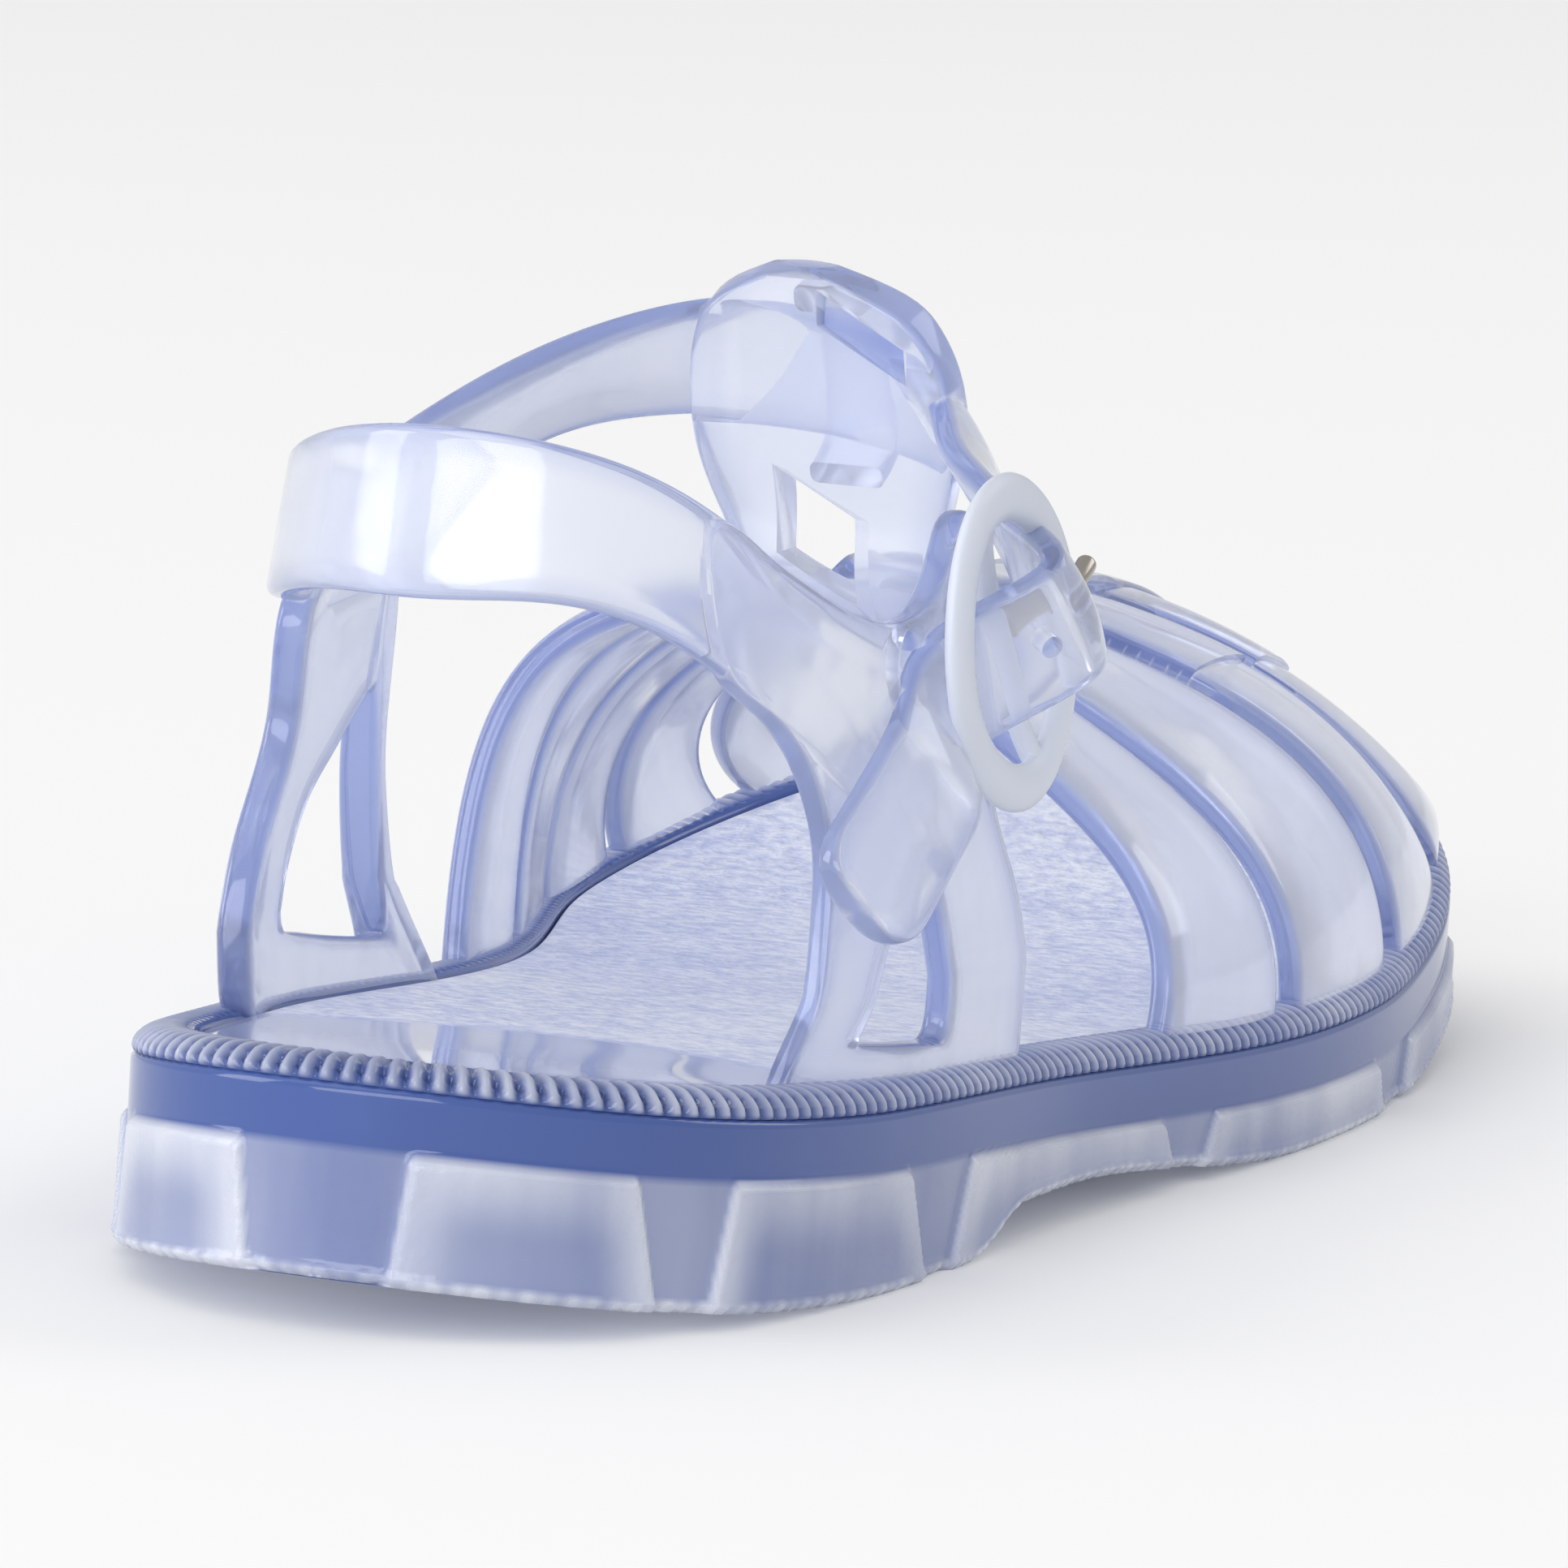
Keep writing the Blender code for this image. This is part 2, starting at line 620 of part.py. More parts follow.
def ankle_strap(material):
    line, width = ankle_line()
    from_tip = np.linalg.norm(line - line[-1], axis=1)
    round_end = np.sqrt(np.clip(1.0 - (1.0 - np.clip(from_tip / ANKLE_HALF, 0.0, 1.0)) ** 2, 0.0, 1.0))
    half = (ANKLE_TIP_HALF + (ANKLE_HALF - ANKLE_TIP_HALF) * round_end)[:, None]
    return add_strap("ankle", line - width * half, line + width * half, STRAP_WALL, STRAP_CROWN, material)


def tab(material):
    rows = np.asarray(TAB)
    height = np.linspace(rows[0, 0], rows[-1, 0], TAB_STEPS)
    centre_x, station, half, thickness = cubic(rows, height).T
    middle = np.column_stack([centre_x, station, height])
    side = np.column_stack([half, 0.0 * half, 0.0 * half])
    return add_strap("tab", middle - side, middle + side, thickness, TAB_CROWN, material)


def tab_loop(material):
    line = along(TAB_LOOP, LOOP_STEPS)
    half = np.array([LOOP_HALF, 0.0, 0.0])
    return add_strap("loop", line - half, line + half, LOOP_WALL, 0.0, material)


def tab_slot(row, material):
    x, y, z, width, height = row
    half = np.array([width, SLOT_DEPTH, height]) / 2.0
    corners = [(i, j, k) for i in (-1, 1) for j in (-1, 1) for k in (-1, 1)]
    verts = [np.array([x, y, z]) + half * np.array(corner) for corner in corners]
    faces = ((0, 1, 3, 2), (4, 6, 7, 5), (0, 4, 5, 1), (2, 3, 7, 6), (0, 2, 6, 4), (1, 5, 7, 3))
    return add_object("slot", verts, faces, material)


def buckle_axes():
    """Along the strap, across it and outwards, at the bar."""
    ahead = np.array(BUCKLE_ALONG) / np.linalg.norm(BUCKLE_ALONG)
    line, width = ankle_line()
    nearest = np.linalg.norm(line - np.array(BUCKLE_MIDDLE), axis=1).argmin()
    across = width[nearest] - ahead * (width[nearest] @ ahead)
    across /= np.linalg.norm(across)
    out = np.cross(ahead, across)
    return ahead, across, out


def round_rod(name, path, radius, flat, closed, material, axis=None):
    """Rod of oval section along a path; flat squeezes it along the given axis."""
    path = np.asarray(path, float)
    if closed:
        tangent = np.roll(path, -1, axis=0) - np.roll(path, 1, axis=0)
    else:
        tangent = np.gradient(path, axis=0)
    tangent /= np.linalg.norm(tangent, axis=1)[:, None]
    side = np.cross(tangent, axis)
    side /= np.linalg.norm(side, axis=1)[:, None]
    lift = np.cross(side, tangent)
    turns = np.linspace(0.0, 2.0 * np.pi, ROUND_SIDES, endpoint=False)
    rings = [path + radius * (side * np.cos(a) + lift * flat * np.sin(a)) for a in turns]
    verts = np.stack(rings, axis=1).reshape(-1, 3)
    return add_object(name, verts, tube_faces(len(path), ROUND_SIDES, closed), material)


def add_buckle_frame(material):
    """Flat oval ring over the strap at front and rear, with a bar that dips behind the strap."""
    ahead, across, out = buckle_axes()
    turn = np.linspace(0.0, 2.0 * np.pi, FRAME_STEPS, endpoint=False)[:, None]
    pointed = np.sin(turn) * (FRAME_POINT + (1.0 - FRAME_POINT) * np.sin(turn) ** 2)
    ring = (np.array(BUCKLE_MIDDLE) + ahead * BUCKLE_HALF_LONG * np.cos(turn)
            + across * BUCKLE_HALF_WIDE * pointed + out * FRAME_OUT)
    frame = round_rod("ring", ring, FRAME_RADIUS, FRAME_FLAT, True, material, out)
    reach = np.linspace(-1.0, 1.0, BAR_STEPS)[:, None]
    bar = (np.array(BUCKLE_MIDDLE) + across * BUCKLE_HALF_WIDE * reach
           + out * (FRAME_OUT - BAR_DIP * (1.0 - reach ** 4)))
    return join("buckle_frame", [frame, round_rod("bar", bar, BAR_RADIUS, 1.0, False, material, out)], material)


def prong_path():
    """From the bar forward behind the strap, out through its hole and onto the frame's front."""
    ahead, across, out = buckle_axes()
    bar = FRAME_OUT - BAR_DIP
    start = BAR_RADIUS + PRONG_RADIUS + SEAT
    arc = FRAME_OUT + FRAME_RADIUS * FRAME_FLAT + PRONG_RADIUS + SEAT
    rows = [(start, bar)] + [(reach * BUCKLE_HALF_LONG, bar + (arc - bar) * rise) for reach, rise in PRONG_WAY]
    rows.append((BUCKLE_HALF_LONG + PRONG_PAST, arc))
    points = [np.array(BUCKLE_MIDDLE) + ahead * a + out * b for a, b in rows]
    return along(np.array(points), PRONG_STEPS), across


def add_buckle_prong(material):
    path, across = prong_path()
    return round_rod("buckle_prong", path, PRONG_RADIUS, 1.0, False, material, across)


def prong_hole(material):
    path, across = prong_path()
    return round_rod("hole", path, PRONG_RADIUS + SEAT, 1.0, False, material, across)


def add_upper(edge, material):
    """Welt, vamp cage, rear cage, tab and ankle strap moulded in one."""
    parts = [add_welt(edge, material)]
    for row in VAMP_STRAPS:
        parts.append(vamp_strap(edge, row, 0.0, 1.0 + CREST_OVERLAP, STRAP_WALL, STRAP_CROWN, material))
    for index in PAD_STRAPS:
        parts.append(vamp_strap(edge, VAMP_STRAPS[index], PAD_FROM, PAD_TO,
                                STRAP_WALL + PAD_PROUD, STRAP_CROWN, material))
    parts.append(centre_strip(edge, material))
    parts.append(heel_band(material))
    for side, rear_leg, front_leg in ((LATERAL, LATERAL_REAR_LEG, LATERAL_FRONT_LEG),
                                      (MEDIAL, MEDIAL_REAR_LEG, MEDIAL_FRONT_LEG)):
        parts.append(post_leg(side, rear_leg, material))
        parts.append(post_leg(side, front_leg, material))
        parts.append(post_bar(side, rear_leg, front_leg, material))
    parts.append(post_leg(LATERAL, HORN, material))
    parts.append(tab(material))
    parts.append(tab_loop(material))
    parts.append(ankle_strap(material))
    body = join("upper", parts, material)
    for row in TAB_SLOTS:
        fuse(body, tab_slot(row, material), "DIFFERENCE")
    fuse(body, prong_hole(material), "DIFFERENCE")
    return body


def place_on_floor(things):
    """Hang the pieces on an empty so that the origin is under the middle of the whole box."""
    corners = np.array([tuple(vert.co) for thing in things for vert in thing.data.vertices])
    low = corners.min(axis=0)
    high = corners.max(axis=0)
    base = bpy.data.objects.new("sandal", None)
    bpy.context.collection.objects.link(base)
    base.location = (-(low[0] + high[0]) / 2.0, -(low[1] + high[1]) / 2.0, -low[2])
    for thing in things:
        thing.parent = base


def main():
    for old in list(bpy.data.objects):
        bpy.data.objects.remove(old)
    sole_pvc = add_material("tinted_pvc", (0.17, 0.24, 0.56), 0.12, 0.0, 0.6)
    bed_pvc = add_material("grained_pvc", (0.42, 0.48, 0.78), 0.35, 0.0, 0.3)
    cage_pvc = add_material("clear_pvc", (0.84, 0.86, 0.96), 0.08, 0.0, 0.8)
    frame_plastic = add_material("frosted_plastic", (0.86, 0.87, 0.9), 0.45, 0.0, 0.3)
    steel = add_material("nickel_steel", (0.55, 0.51, 0.46), 0.25, 1.0, 0.0)
    edge = SoleEdge()
    things = [add_outsole(edge, sole_pvc), add_insole(edge, bed_pvc), add_upper(edge, cage_pvc),
              add_buckle_frame(frame_plastic), add_buckle_prong(steel)]
    for thing in things:
        shade(thing, SMOOTH_ANGLE)
    place_on_floor(things)


main()
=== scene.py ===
import bpy
import numpy as np
from mathutils import Matrix


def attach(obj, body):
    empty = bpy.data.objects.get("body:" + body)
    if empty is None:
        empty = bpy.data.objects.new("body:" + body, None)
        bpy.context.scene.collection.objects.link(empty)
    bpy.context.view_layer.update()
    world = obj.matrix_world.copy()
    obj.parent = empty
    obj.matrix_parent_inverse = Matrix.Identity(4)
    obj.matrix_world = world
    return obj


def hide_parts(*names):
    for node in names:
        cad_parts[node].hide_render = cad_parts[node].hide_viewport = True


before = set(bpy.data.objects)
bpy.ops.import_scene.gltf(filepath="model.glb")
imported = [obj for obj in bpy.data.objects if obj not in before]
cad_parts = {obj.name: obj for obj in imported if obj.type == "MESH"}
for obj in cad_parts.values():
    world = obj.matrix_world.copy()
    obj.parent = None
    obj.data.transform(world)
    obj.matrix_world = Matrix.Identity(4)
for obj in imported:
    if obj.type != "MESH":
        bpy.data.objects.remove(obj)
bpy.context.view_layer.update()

bl_info = {
    "name": "Clear Caged Sandal",
    "version": (1, 0, 0),
    "blender": (4, 5, 0),
    "location": "View3D > Sidebar > Sandal",
    "description": "Builds the visible pieces of a clear moulded sandal on its measured frame",
    "category": "Object",
}

MM = 0.001
LATERAL = 1
MEDIAL = -1

# Working millimetres have their origin on the floor under the rear of the sole; this moves them to the frame
ORIGIN = np.array([3.1203, -125.3995, 0.0])

# Sole form: length, edge heights at heel and forefoot, raised rear, step to the arch, sprung toe
LENGTH = 250.0
TOE_X = -5.0
HEEL_EDGE = 16.8
FORE_EDGE = 10.9
DROP_FROM = 15.0
DROP_TO = 160.0
HEEL_RISE = 4.5
HEEL_FLAT_FROM = 52.0
BREAST = 66.0
BREAST_RUN = 15.0
ARCH_RISE = 3.6
ARCH_FROM = 92.0
ARCH_TO = 145.0
BALL_END = 172.0
TOE_SPRING = 14.6
BAND = 5.0
SEAT = 0.3

# Station along the foot, distance of the outline to the lateral and the medial side
OUTLINE = (
    (5.0, 15.8, 14.2),
    (15.0, 25.6, 23.6),
    (35.0, 32.6, 30.2),
    (61.0, 35.6, 32.8),
    (91.0, 36.6, 32.6),
    (120.0, 40.0, 35.0),
    (148.0, 43.0, 42.0),
    (174.0, 43.0, 48.4),
    (196.0, 40.6, 49.4),
    (217.0, 36.7, 44.9),
    (234.0, 29.0, 35.5),
    (245.0, 17.4, 23.0),
)

# Plain ribs between the raised panels: distance along the edge, half width at the top and at the tread
RIBS = (
    (0.0, 7.5, 6.0),
    (33.5, 5.0, 2.4),
    (76.5, 7.0, 2.5),
    (136.5, 5.6, 2.6),
    (195.5, 7.5, 4.4),
    (246.0, 6.0, 3.0),
)

# Width over which a panel rises from the ribs and the band
PANEL_BORDER = 1.2

# Chamfer at the tread, and the lip under the welt with the height over which it fades
CHAMFER = 0.7
LIP = 0.35
LIP_FADE = 0.5

# Grooves of the tread: spacing, depth, where a cosine starts to cut, and how gently
GROOVE_PITCH = 6.0
GROOVE_DEPTH = 0.9
GROOVE_FROM = 0.55
GROOVE_EASE = 0.3

# Grooved stretches of the tread: first station, last station, ease at both ends
GROOVED = ((8.0, 58.0, 6.0), (118.0, 232.0, 8.0))

# Welt and insole
WELT_OUTER = 0.2
WELT_WIDTH = 5.4
INSOLE_THICKNESS = 1.7
INSOLE_ROUND = 0.3

# Grained part of the footbed: station of its border in the middle, bow of the border, width of its fade
GRAIN_FROM = 58.0
GRAIN_BOW = 8.0
GRAIN_FADE = 3.0

# Vamp: station, crest x and z, then wall, reach and fall of the lateral and of the medial curve
VAMP = (
    (104.0, 1.0, 52.0, 19.0, 16.0, 16.0, 30.0, 27.0, 0.0),
    (135.0, 0.0, 51.0, 19.0, 16.0, 14.0, 28.0, 27.0, 0.5),
    (160.0, 2.0, 49.5, 20.0, 20.0, 7.5, 24.0, 28.0, 0.5),
    (180.0, 5.0, 47.8, 20.0, 18.0, 4.0, 22.0, 30.0, 1.0),
    (200.0, 5.0, 43.2, 15.0, 18.0, 2.0, 19.0, 29.0, 1.0),
    (220.0, 3.0, 35.4, 9.5, 17.0, 0.5, 12.0, 24.0, 0.5),
    (240.0, -3.0, 28.0, 4.0, 10.0, 0.0, 5.0, 12.0, 0.0),
)

# Vamp straps: side, stations of the rear and front edge at the welt, then at the crest
VAMP_STRAPS = (
    (LATERAL, 117.0, 143.0, 131.0, 142.0),
    (LATERAL, 149.0, 180.0, 144.0, 155.0),
    (LATERAL, 188.0, 212.0, 157.0, 168.0),
    (LATERAL, 219.0, 236.0, 170.0, 182.0),
    (MEDIAL, 107.0, 130.0, 120.0, 131.0),
    (MEDIAL, 134.0, 158.0, 133.0, 145.0),
    (MEDIAL, 162.0, 189.0, 147.0, 158.0),
    (MEDIAL, 194.0, 214.0, 160.0, 171.0),
    (MEDIAL, 219.0, 236.0, 173.0, 184.0),
)

# Straps run on past the crest, by their share of the way from the welt, and end inside the centre strip
STRAP_END = 1.06

# Straps with a raised pad, its stretch of the way from the welt, and its rise
PAD_STRAPS = (2, 3, 7, 8)
PAD_FROM = 0.66
PAD_TO = 0.9
PAD_RISE = 1.4

# Feet of the straps in the welt, and the centre strip
FOOT_INSET = 3.0
FOOT_SINK = 2.2
STRIP_FROM = 132.0
STRIP_TO = 240.0
STRIP_HALF = 5.5
STRIP_WALL = 3.4

# Line inside the foot that the straps face away from: how far ahead of a strap, how high
CORE_AHEAD = 8.0
CORE_HEIGHT = 25.0

# Rear cage: oval plan, half width, lean and forward spread of each side
CAGE_CENTRE_Y = 62.0
CAGE_HALF_Y = 41.0
CAGE_LEVEL = 60.0
CAGE = {LATERAL: (28.5, 0.12, 0.05), MEDIAL: (26.5, 0.095, 0.0)}

# Feet of the posts draw in below this height, by this much per millimetre
FOOT_TUCK_FROM = 26.0
FOOT_TUCK = 0.18

# Heel band: angle round the oval, height of the lower and of the upper edge
HEEL_BAND = (
    (-96.0, 53.5, 65.5),
    (-60.0, 56.5, 69.5),
    (-30.0, 59.5, 73.5),
    (0.0, 60.3, 75.0),
    (23.0, 60.4, 73.6),
    (37.0, 58.0, 71.0),
    (50.0, 53.2, 66.6),
    (57.0, 50.2, 63.6),
    (64.0, 48.4, 60.6),
)

# Posts, once round: station and height of the outer edge, station and height of the window's edge, wall
LATERAL_POST = (
    (37.8, 17.6, 46.9, 22.3, 2.8),
    (39.7, 23.3, 48.2, 24.4, 2.8),
    (41.5, 28.0, 50.1, 27.9, 2.8),
    (42.7, 34.0, 52.5, 31.9, 2.8),
    (43.2, 38.6, 54.1, 34.6, 2.8),
    (42.5, 42.8, 55.1, 35.9, 2.8),
    (40.3, 47.8, 55.9, 36.8, 2.8),
    (36.6, 51.9, 56.2, 37.2, 2.8),
    (33.4, 54.8, 56.6, 37.5, 2.8),
    (32.2, 59.7, 56.8, 37.7, 2.8),
    (32.0, 64.6, 57.0, 37.7, 2.8),
    (33.1, 68.3, 57.2, 37.8, 2.8),
    (36.7, 66.0, 57.4, 37.8, 2.8),
    (40.3, 63.4, 57.5, 37.7, 2.8),
    (45.1, 60.8, 57.7, 37.7, 2.8),
    (49.7, 59.0, 57.9, 37.7, 2.8),
    (55.1, 58.1, 58.1, 37.7, 2.8),
    (61.5, 58.7, 58.2, 37.6, 2.8),
    (66.5, 61.1, 58.4, 37.5, 2.8),
    (69.7, 64.2, 58.6, 37.4, 2.8),
    (72.2, 66.4, 58.8, 37.3, 2.8),
    (74.9, 65.4, 58.9, 37.1, 2.8),
    (75.9, 59.7, 59.3, 36.8, 2.8),
    (75.8, 52.5, 59.6, 36.5, 2.8),
    (75.8, 45.2, 60.1, 35.8, 2.8),
    (76.6, 39.8, 60.8, 34.6, 2.8),
    (79.3, 34.8, 61.8, 32.7, 2.8),
    (81.8, 29.2, 62.9, 29.3, 2.8),
    (83.0, 21.9, 63.9, 24.9, 2.8),
    (83.6, 16.7, 64.1, 21.8, 2.8),
    (81.6, 13.6, 62.8, 20.4, 2.8),
    (70.0, 14.8, 59.6, 20.6, 2.8),
    (54.0, 16.4, 54.4, 21.1, 2.8),
    (42.6, 16.9, 48.8, 21.7, 2.8),
)
MEDIAL_POST = (
    (44.9, 18.6, 58.3, 24.4, 3.2),
    (43.9, 27.2, 57.8, 27.0, 3.2),
    (46.0, 33.1, 58.0, 30.1, 3.2),
    (50.6, 38.0, 60.7, 35.6, 3.2),
    (53.4, 43.7, 65.2, 39.5, 3.2),
    (52.4, 49.4, 69.1, 42.6, 3.2),
    (52.6, 54.6, 71.3, 44.1, 3.2),
    (58.0, 57.6, 72.0, 44.6, 3.2),
    (66.0, 58.4, 72.6, 44.9, 3.2),
    (73.6, 57.2, 73.2, 44.9, 3.2),
    (75.6, 52.0, 73.8, 43.3, 3.6),
    (77.2, 40.7, 74.6, 40.2, 4.0),
    (79.2, 34.8, 76.3, 35.0, 4.2),
    (82.4, 29.1, 78.7, 29.5, 4.2),
    (88.1, 22.2, 81.1, 24.6, 4.0),
    (96.6, 13.2, 82.4, 21.2, 3.6),
    (90.0, 12.4, 80.0, 20.9, 3.4),
    (71.6, 14.8, 70.3, 22.2, 3.2),
    (56.0, 16.9, 62.6, 23.4, 3.2),
)

# Slot through the lateral quarter: station, height, half length, its width as a share of its length
QUARTER_SLOT = (57.4, 53.6, 3.8, 0.68)

# Reach of the slot's cutting rod into the shoe and out of it
QUARTER_REACH = (-6.0, 8.0)

# Ankle strap: place of the middle line, then the direction of its width
ANKLE = (
    (-26.5, 56.0, 59.8, 0.00, -0.05, 1.00),
    (-26.2, 74.0, 62.0, 0.02, -0.40, 0.92),
    (-23.0, 90.8, 68.8, 0.20, -0.72, 0.66),
    (-14.7, 106.5, 73.6, 0.16, -0.66, 0.73),
    (-1.0, 112.9, 74.8, 0.00, -0.50, 0.86),
    (12.4, 114.4, 70.9, -0.20, -0.60, 0.77),
    (19.6, 104.8, 66.0, -0.30, -0.64, 0.70),
    (26.0, 94.2, 62.8, -0.26, -0.54, 0.80),
    (30.2, 86.6, 61.2, -0.14, -0.52, 0.84),
    (33.0, 81.4, 60.6, -0.12, -0.52, 0.84),
    (40.0, 72.6, 58.2, -0.20, -0.57, 0.79),
    (31.6, 63.2, 50.4, -0.14, -0.49, 0.85),
    (33.4, 57.0, 46.4, -0.38, -0.56, 0.72),
    (33.5, 50.6, 41.8, -0.42, -0.58, 0.70),
    (33.0, 45.6, 38.0, -0.46, -0.54, 0.70),
    (32.4, 40.4, 34.4, -0.48, -0.52, 0.70),
)
ANKLE_HALF = 6.5
ANKLE_TIP_HALF = 1.2

# Steps along the strap shorten towards the tail by this power
ANKLE_CROWD = 1.4

# Length of the tail's rounded end, and the power of its curve, where 2 is an ellipse
TAIL_ROUND = 5.6
TAIL_POWER = 2.5

# Tab: height, middle x, station, half width, thickness
TAB = (
    (48.5, 2.0, 124.0, 6.0, 3.6),
    (52.0, 3.2, 117.6, 8.0, 4.8),
    (60.0, 3.0, 114.2, 10.8, 5.2),
    (67.0, 3.0, 111.2, 12.8, 5.2),
    (73.0, 3.0, 108.8, 13.0, 5.2),
    (78.5, 2.6, 106.6, 11.6, 5.0),
    (82.0, 2.0, 105.2, 8.2, 4.6),
    (84.0, 1.4, 104.4, 3.6, 3.6),
)
TAB_CROWN = 0.4

# Loop on the toe side of the tab that holds the strap: its middle line from top to bottom
TAB_LOOP = (
    (3.4, 105.8, 81.4),
    (3.6, 110.6, 81.4),
    (3.8, 115.6, 79.0),
    (4.0, 119.2, 73.0),
    (4.0, 119.2, 68.4),
    (3.8, 114.2, 64.8),
)
LOOP_HALF = 3.6
LOOP_WALL = 2.2
LOOP_CORNER = 0.8

# Slots in the tab: middle of the cutting block, its width and height, its fall per width
TAB_SLOTS = (
    (7.6, 90.8, 78.2, 8.4, 3.4, 0.6),
    (1.8, 114.6, 58.6, 7.8, 8.6, 0.6),
)
SLOT_DEPTH = 30.0

# Buckle in the plane of the strap at the bar
BUCKLE_MIDDLE = np.array([34.5, 71.2, 55.4])
BUCKLE_ALONG = np.array([0.05, 0.86, 0.5])
BUCKLE_ACROSS = np.array([-0.08, -0.49, 0.86])
BUCKLE_HALF_LONG = 11.5
BUCKLE_HALF_WIDE = 14.0
FRAME_POINT = 0.9
FRAME_RADIUS = 2.2
FRAME_FLAT = 0.48
FRAME_OUT = 0.6
BAR_DIP = 1.4
BAR_RADIUS = 1.05
PRONG_RADIUS = 0.95
PRONG_PAST = 1.8

# Prong's way from the bar to the ring's front: share of the half length, share of the rise
PRONG_WAY = ((0.4, 0.2), (0.66, 0.75), (0.9, 1.0))

# Share of the prong's length where its rounded tip starts, and share of a full round that the tip takes
TIP_FROM = 0.94
TIP_FULL = 0.98

# Spare hole in the strap, near this place
STRAP_HOLE = (38.0, 70.2, 56.0)
HOLE_RADIUS = 1.05
HOLE_REACH = 4.0

# Camera found from the photograph, in working millimetres and radians
EYE = np.array([312.3002, -779.5274, 160.73])
YAW = 0.3386
PITCH = 0.1326
ROLL = -0.0622
FOCUS_PIXELS = 12455.41
SHIFT_PIXELS = (-21.62, -0.30)
IMAGE_PIXELS = 1932.0
SENSOR_MM = 36.0

# Paleness of the sole's panels, of the ribs between them and of the tread
PANEL_PALE = 0.8
RIB_PALE = 0.34
TREAD_PALE = 0.3

# Height under the band over which the ribs' paleness starts
RIB_FADE = 0.8

# Painted shade: loss of that paleness in the middle of a panel, which leaves its margins pale like light
# gathered at its borders, and how far in from its border the middle starts
HEART_SHADE = 0.46
HEART_BORDER = 7.0

# Painted highlight: paleness that the lit rim of a panel adds
RIM_HIGHLIGHT = 0.35

# Flash along the sole's lower edge: rise, height where it starts to fade, height over which it fades
FLASH_PROUD = 0.3
FLASH_FROM = 0.7
FLASH_FADE = 0.8

# Raggedness of the flash: share of its rise, and the turns per millimetre of two waves that beat
RAGGED = (0.2, 2.3, 0.9)

# Painted highlight on the welt ribs' crests, as paleness where 1 is that of the etched panels
CREST_HIGHLIGHT = 0.6

# Edges of joined bodies that turn by more than this many degrees stay crisp
CREASE_ANGLE = 38.0

# Points of a piece that lie this near in metres are one
WELD_DISTANCE = 0.00001

# Radius of a strap's rounded edges, and the part of the half turn that a rounded edge takes
STRAP_CORNER = 0.95
CORNER_TURN = 0.999

# Share of the edge's blue, a painted shade, that reaches onto a strap's flat, and the place across where it
# starts
FLAT_EDGE_SHADE = 0.3
FLAT_EDGE_SHADE_FROM = 0.55

# Softboxes of the stage: name, place in metres, width and height in metres, watts
SOFTBOXES = (
    ("softbox_front", (-0.2, -3.4, 0.75), 3.4, 1.4, 60.0),
    ("softbox_left", (-2.4, -1.2, 0.8), 1.4, 1.2, 20.0),
    ("softbox_rear_right", (2.0, 2.2, 1.9), 1.6, 1.6, 14.0),
)
SOFTBOX_TARGET = (0.0, 0.0, 0.05)

# Even light of the white room, and the overhead bank: place in metres, strength, spread in degrees
ROOM_STRENGTH = 0.68
BANK_PLACE = (-0.6, -0.8, 1.5)
BANK_STRENGTH = 0.5
BANK_SPREAD = 50.0

# Sizes that a user would change, in millimetres: key, label, what it is, value
SIZES = (
    ("strap_wall", "Strap wall", "Thickness of the straps", 2.6),
    ("strap_crown", "Strap crown", "Rise of a strap's outside in its middle", 0.6),
    ("rib_pitch", "Welt rib pitch", "Spacing of the welt's ribs", 2.0),
    ("rib_depth", "Welt rib depth", "Depth of the welt's ribs", 0.85),
    ("panel_proud", "Panel relief", "Rise of the sole's side panels", 0.8),
)

# Colours as sRGB hex values: key, label, what it colours, value
COLOURS = (
    ("pvc_surface", "PVC surface", "Milky cast of the clear PVC", "#EBEEF8"),
    ("pvc_depth", "PVC depth", "Colour that light keeps on its way through the clear PVC", "#6688D2"),
    # The edge colour is painted shade: blue standing in for light absorbed along the longer way through an
    # edge
    ("pvc_edge", "PVC edge", "Blue that gathers along the edges of the straps", "#A3B0DC"),
    ("sole_deep", "Sole, polished", "Sole's polished band and ribs", "#4860A4"),
    # The etched colour is also the colour of the sole's and the welt's painted highlights and streaks
    ("sole_etched", "Sole, etched", "Sole's etched panels", "#DDE1EE"),
    # The footbed's two colours carry painted shade in the grain's dips and a painted highlight on its tops
    ("bed_low", "Footbed, low", "Dips of the footbed's grain", "#BFC7E6"),
    ("bed_high", "Footbed, high", "Tops of the footbed's grain", "#E8EBF6"),
    ("buckle", "Buckle", "Milky buckle plastic", "#DFE4F0"),
    ("prong", "Prong", "Plated prong", "#A59F97"),
    ("floor", "Floor", "Studio floor", "#F6F6F6"),
)


class SandalSizes(bpy.types.PropertyGroup):
    """Sizes that a user would change."""

    __annotations__ = {
        key: bpy.props.FloatProperty(name=label, description=about, default=value, min=0.0)
        for key, label, about, value in SIZES
    }


class SandalColours(bpy.types.PropertyGroup):
    """Colours as sRGB hex values."""

    __annotations__ = {
        key: bpy.props.StringProperty(name=label, description=about, default=value)
        for key, label, about, value in COLOURS
    }


def sizes():
    return bpy.context.scene.sandal_sizes


def colours():
    return bpy.context.scene.sandal_colours


def smooth(t):
    """Ease from 0 to 1 with level ends: three squares less two cubes."""
    t = np.clip(t, 0.0, 1.0)
    return t * t * (3.0 - 2.0 * t)


def heel_rise(y):
    """Square of the distance behind the heel's flat, scaled to the rise at the rear."""
    return HEEL_RISE * np.clip((HEEL_FLAT_FROM - y) / HEEL_FLAT_FROM, 0.0, 1.0) ** 2


def toe_spring(y):
    """Square of the distance ahead of the ball, scaled to the rise at the toe."""
    return TOE_SPRING * np.clip((y - BALL_END) / (LENGTH - BALL_END), 0.0, 1.0) ** 2


